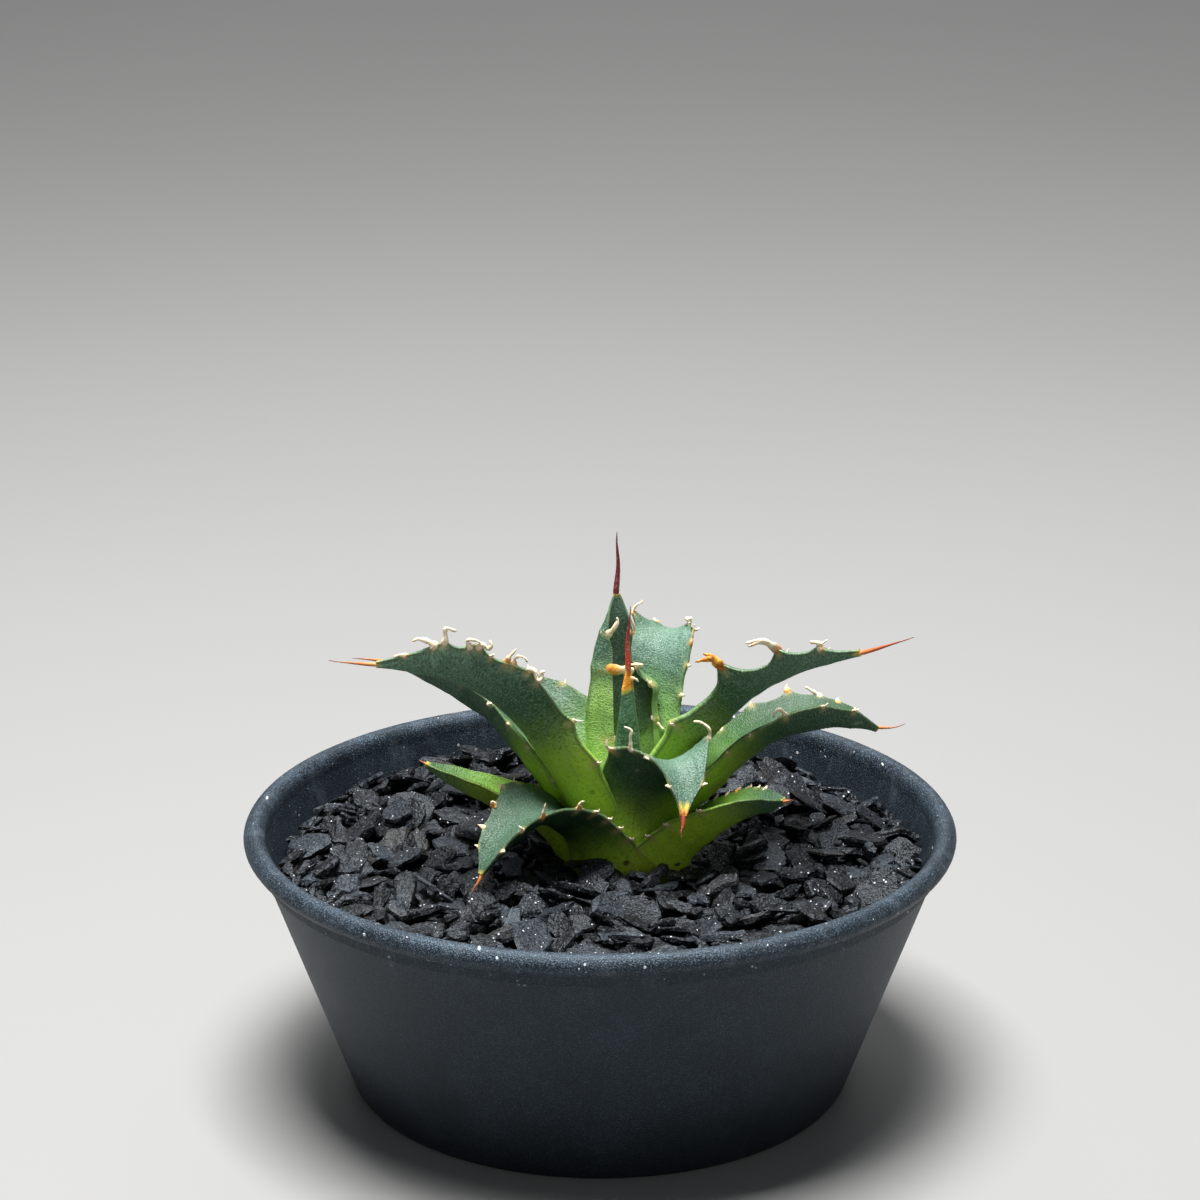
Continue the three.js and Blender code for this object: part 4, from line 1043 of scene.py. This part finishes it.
def make_leaves():
    skin, horn, spine_horn = leaf_finish(), tooth_finish(), spine_finish()
    barb = make_barb()
    for number, leaf in enumerate(LEAVES, 1):
        blade = make_blade(leaf, number)
        coat(blade, skin)
        teeth = []
        for index, tooth in enumerate(leaf["teeth"], 1):
            teeth += make_tooth(barb, leaf, tooth, index)
        for tooth in teeth:
            coat(tooth, horn)
            tooth.data.shade_smooth()
        whole = join([blade, *teeth], leaf["name"] + "_flesh")
        declare(whole, leaf["name"])
        spine = make_spine(barb, leaf)
        coat(spine, spine_horn)
        declare(spine, leaf["name"].replace("leaf", "spine"))
    bpy.data.objects.remove(barb)


# Pan


def wall_inside(height):
    """The inner face of the sloping wall, at a height."""
    share = (height - WALL_FOOT[1]) / (WALL_TOP[1] - WALL_FOOT[1])
    return mix(WALL_FOOT[0], WALL_TOP[0], share) - WALL


def pan_profile():
    """The pan's outline from the middle of its foot round the outside and the bead to the inner floor."""
    bead = BEAD_WIDTH / 2
    foot_in = FOOT_RADIUS - FOOT_WIDTH
    floor_top = FOOT_HEIGHT + FLOOR
    centre = (RIM_RADIUS - bead, RIM_HEIGHT - bead)
    outline = [
        (0.0, FOOT_HEIGHT), (foot_in - 0.8, FOOT_HEIGHT), (foot_in - 0.3, FOOT_HEIGHT - 0.15),
        (foot_in, 0.3), (foot_in + 0.3, 0.0), (FOOT_RADIUS - 0.4, 0.0), (FOOT_RADIUS, 0.2),
        (FOOT_RADIUS + 0.4, 0.8), WALL_FOOT,
    ]
    for share in (0.3, 0.6, 0.86):
        height = mix(WALL_FOOT[1], WALL_TOP[1], share)
        outline.append((mix(WALL_FOOT[0], WALL_TOP[0], share), height))
    outline += [(WALL_TOP[0] - 0.9, WALL_TOP[1] - 2.4), (WALL_TOP[0] - 0.1, WALL_TOP[1] - 2.0), WALL_TOP]
    for degrees in range(-70, 181, 14):
        angle = math.radians(degrees)
        swell = 0.93 + 0.07 * math.cos(2 * angle) ** 2
        outline.append((centre[0] + bead * swell * math.cos(angle), centre[1] + bead * math.sin(angle)))
    outline.append((centre[0] - bead - 0.05, centre[1] - 1.2))
    for height in (RIM_HEIGHT - BEAD_WIDTH, 44.0, 30.0, 16.0, floor_top + 1.4):
        outline.append((wall_inside(height), height))
    outline += [(wall_inside(floor_top) - 0.5, floor_top + 0.3), (wall_inside(floor_top) - 1.5, floor_top)]
    outline.append((0.0, floor_top))
    return outline


def trace(outline, name):
    """One point, extruded from place to place along an outline in the XZ plane."""
    deselect()
    bpy.ops.mesh.primitive_plane_add(size=1)
    piece = new_piece(name)
    edit(piece)
    bpy.ops.mesh.merge(type="CENTER")
    places = [Vector((x * MM, 0, z * MM)) for x, z in outline]
    bpy.ops.transform.translate(value=places[0])
    for before, after in zip(places, places[1:]):
        bpy.ops.mesh.extrude_region_move(TRANSFORM_OT_translate={"value": after - before})
    return piece


def make_pan():
    pan = trace(pan_profile(), "pan")
    bpy.ops.mesh.select_all(action="SELECT")
    bpy.ops.mesh.spin(steps=PAN_TURNS, angle=2 * math.pi, center=(0, 0, 0), axis=(0, 0, 1))
    bpy.ops.mesh.select_all(action="SELECT")
    bpy.ops.mesh.remove_doubles(threshold=0.00002)
    face_outward()
    bore = dict(vertices=DRAIN_SIDES, radius=DRAIN_RADIUS * MM, depth=4 * FLOOR * MM)
    for k in range(DRAIN_COUNT):
        angle = 2 * math.pi * k / DRAIN_COUNT
        place = Vector((DRAIN_CIRCLE * math.cos(angle), DRAIN_CIRCLE * math.sin(angle), FOOT_HEIGHT)) * MM
        bpy.ops.mesh.primitive_cylinder_add(location=place, **bore)
        drain = new_piece("drain")
        active(pan)
        hole = pan.modifiers.new("drain", "BOOLEAN")
        hole.operation = "DIFFERENCE"
        hole.solver = "EXACT"
        hole.object = drain
        bpy.ops.object.modifier_apply(modifier=hole.name)
        bpy.data.objects.remove(drain)
        deselect()
    smooth(pan, 35)
    coat(pan, pan_finish())
    declare(pan, "pot")


# Stone chips


def make_chip_kind(seed):
    """A flat flake about 1 long and 1 thick, with a crumbly outline and a stepped, broken edge."""
    draw = random.Random(seed)
    corners = draw.choice((5, 6, 6, 7))
    deselect()
    bpy.ops.mesh.primitive_circle_add(vertices=CHIP_SIDES, radius=1, fill_type="TRIFAN")
    chip = new_piece(f"chip_{seed}")
    edit(chip)
    for rise, spread in ((draw.uniform(0.4, 0.7), draw.uniform(1.0, 1.14)), (0.4, draw.uniform(0.76, 0.96))):
        bpy.ops.mesh.extrude_region_move(TRANSFORM_OT_translate={"value": (0, 0, rise)})
        bpy.ops.transform.resize(value=(spread, spread, 1))
    face_outward()
    points = coordinates(chip)
    stretch = draw.uniform(0.42, 0.9)
    radii = [draw.uniform(0.72, 1.12) for _ in range(corners)]
    turns = [2 * math.pi * (k + draw.uniform(-0.28, 0.28)) / corners for k in range(corners)]
    outline = [Vector((r * math.cos(a), r * math.sin(a))) for r, a in zip(radii, turns)]
    angle = np.arctan2(points[:, 1], points[:, 0]) % (2 * math.pi)
    size = np.hypot(points[:, 0], points[:, 1])
    crumbs = [draw.uniform(0.86, 1.1) for _ in range(CHIP_SIDES)]
    for index, (direction, reach) in enumerate(zip(angle, size)):
        spot = direction / (2 * math.pi) * corners
        first, second = outline[int(spot) % corners], outline[(int(spot) + 1) % corners]
        edge_place = first.lerp(second, spot - int(spot))
        crumb = crumbs[round(direction / (2 * math.pi) * CHIP_SIDES) % CHIP_SIDES] * draw.uniform(0.93, 1.07)
        points[index, :2] = edge_place * reach * crumb
        points[index, 2] += draw.uniform(-0.14, 0.14)
    points[:, 1] *= stretch
    move_points(chip, points)
    chip.data.shade_flat()
    return chip, stretch


def chip_target(x, y):
    """How high the chips should lie at a place: a few low mounds, and a hollow round the plant."""
    mound = 2.6 * math.exp(-((x - 36) ** 2 + (y - 20) ** 2) / 240)
    mound += 1.8 * math.exp(-((x + 34) ** 2 + (y - 26) ** 2) / 300)
    hollow = 0.4 * math.exp(-((x - PLANT[0] + 4) ** 2 + (y - PLANT[1]) ** 2) / 330)
    wave = noise.noise(Vector((x, y, 3.0)) * 0.055)
    return CHIP_LEVEL - 0.6 + mound - hollow + wave


def lay_chips(shapes):
    """Drops the chips one by one on a height map; gives each one's kind, place, size and turn."""
    draw = random.Random(CHIP_SEED)
    ticks = np.arange(-HEIGHT_REACH, HEIGHT_REACH + HEIGHT_CELL, HEIGHT_CELL)
    xs, ys = np.meshgrid(ticks, ticks, indexing="ij")
    level = np.full(xs.shape, BED_START)
    target = np.vectorize(chip_target)(xs, ys)
    rim = wall_inside(CHIP_LEVEL) - 0.6
    laid = []
    misses = 0
    while len(laid) < CHIP_LIMIT and misses < MISS_LIMIT:
        best = None
        for _ in range(CHIP_TRIES):
            length = mix(*CHIP_LENGTH, draw.random() ** SMALL_CHIPS)
            kind = draw.randrange(len(shapes))
            wide = length * shapes[kind][1]
            turn = draw.uniform(0, 2 * math.pi)
            radius = (rim - 0.6 * wide) * math.sqrt(draw.random())
            angle = draw.uniform(0, 2 * math.pi)
            x, y = radius * math.cos(angle), radius * math.sin(angle)
            away = math.hypot(x - PLANT[0], y - PLANT[1])
            support = math.hypot(length * math.cos(turn - angle), wide * math.sin(turn - angle))
            if away < PLANT_CLEARANCE + 0.75 * wide or radius + support > rim:
                continue
            i, j = (int((v + HEIGHT_REACH) / HEIGHT_CELL) for v in (x, y))
            need = target[i, j] - level[i, j]
            if best is None or need > best[0]:
                best = (need, kind, length, wide, turn, x, y)
        if best is None or best[0] < 0.2:
            misses += 1
            continue
        _, kind, length, wide, turn, x, y = best
        span = int(length / HEIGHT_CELL) + 2
        middle = [round((v + HEIGHT_REACH) / HEIGHT_CELL) for v in (x, y)]
        window = tuple(slice(max(k - span, 0), k + span + 1) for k in middle)
        dx, dy = xs[window] - x, ys[window] - y
        local_x = dx * math.cos(turn) + dy * math.sin(turn)
        local_y = dy * math.cos(turn) - dx * math.sin(turn)
        inside = (local_x / length) ** 2 + (local_y / wide) ** 2 < 0.85
        if inside.sum() < 4:
            misses += 1
            continue
        # It lies on the highest quarter of what is under it.
        under = level[window][inside]
        plan = np.stack([dx[inside], dy[inside], np.ones(inside.sum())], 1)
        slope_x, slope_y, _ = np.linalg.lstsq(plan, under, rcond=None)[0]
        slope_x = float(np.clip(slope_x, -STEEPEST, STEEPEST)) + draw.uniform(-TUMBLE, TUMBLE)
        slope_y = float(np.clip(slope_y, -STEEPEST, STEEPEST)) + draw.uniform(-TUMBLE, TUMBLE)
        thickness = mix(*CHIP_THICKNESS, draw.random()) * (0.65 + 0.12 * length)
        lean = slope_x * plan[:, 0] + slope_y * plan[:, 1]
        base = float(np.percentile(under - lean, 76))
        level[window][inside] = np.maximum(under, base + lean + thickness)
        laid.append((kind, x, y, base, length, thickness, turn, slope_x, slope_y, draw.random()))
        misses = 0
    return laid


def make_gravel():
    kinds = [make_chip_kind(seed) for seed in range(CHIP_KINDS)]
    finish = chip_finish()
    chips = []
    for kind, x, y, base, length, thickness, turn, slope_x, slope_y, tone in lay_chips(kinds):
        normal = Vector((-slope_x, -slope_y, 1)).normalized()
        lean = Vector((0, 0, 1)).rotation_difference(normal).to_matrix().to_4x4()
        size = Matrix.Diagonal((length, length, thickness, 1))
        spin = Matrix.Rotation(turn, 4, "Z")
        place = Matrix.Translation((x, y, base))
        chip = kinds[kind][0].copy()
        chip.data = kinds[kind][0].data.copy()
        chip.data.transform(Matrix.Scale(MM, 4) @ place @ lean @ spin @ size)
        set_attribute(chip, "tone", tone)
        bpy.context.scene.collection.objects.link(chip)
        chips.append(chip)
    lower = join(chips[:CHIPS_IN_PIECE] + [make_chip_bed()], "stone_chips_lower")
    upper = join(chips[CHIPS_IN_PIECE:], "stone_chips_upper")
    for gravel in (lower, upper):
        coat(gravel, finish)
        declare(gravel, "gravel")
    for chip, _ in kinds:
        bpy.data.objects.remove(chip)


def make_chip_bed():
    """The closed lower layer that the loose chips lie on."""
    deselect()
    bpy.ops.mesh.primitive_cylinder_add(vertices=PAN_TURNS, radius=1, depth=1, end_fill_type="TRIFAN")
    bed = new_piece("chip_bed")
    points = coordinates(bed)
    points[:, 2] = np.where(points[:, 2] > 0, BED_START + 0.6, BED_BOTTOM)
    points[:, :2] *= wall_inside(points[:, 2:]) - 0.3
    move_points(bed, points * MM)
    set_attribute(bed, "tone", 0.0)
    return bed


# Studio


def make_studio():
    deselect()
    bpy.ops.mesh.primitive_plane_add(size=12, location=(0, 2, 0))
    floor = new_piece("studio_floor")
    floor.data.materials.append(floor_finish())
    plant, far_floor = Vector((0, 0, 0.06)), Vector((0, 2.1, 0))
    lights = (
        ("overhead", (-0.06, -0.03, 1.1), plant, 0.5, 31.0),
        ("backdrop", (0.0, 2.2, 1.8), far_floor, 2.2, 24.0),
        ("front_fill", (0.5, -1.3, 0.7), plant, 1.0, 1.0),
    )
    for name, place, target, size, power in lights:
        bpy.ops.object.light_add(type="AREA", location=place)
        lamp = bpy.context.object
        lamp.name = name
        lamp.data.size = size
        lamp.data.energy = power
        lamp.rotation_euler = (target - Vector(place)).to_track_quat("-Z", "Y").to_euler()
    world = bpy.data.worlds.new("studio")
    world.use_nodes = True
    backdrop = world.node_tree.nodes["Background"]
    backdrop.inputs["Color"].default_value = (0.9, 0.95, 1.0, 1)
    backdrop.inputs["Strength"].default_value = 0.14
    bpy.context.scene.world = world
    bpy.context.scene.view_settings.view_transform = "Standard"


def make_camera():
    bpy.ops.object.camera_add(location=CAMERA_PLACE, rotation=(math.radians(90 - CAMERA_TILT), 0, 0))
    camera = bpy.context.object
    camera.data.lens = LENS
    camera.data.sensor_width = 36
    camera.data.clip_end = 30
    bpy.context.scene.camera = camera


make_camera()
make_studio()
make_pan()
make_gravel()
make_leaves()
coat(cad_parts["soil"], soil_finish())
coat(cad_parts["stem_and_roots"], stem_finish())

bpy.context.view_layer.update()
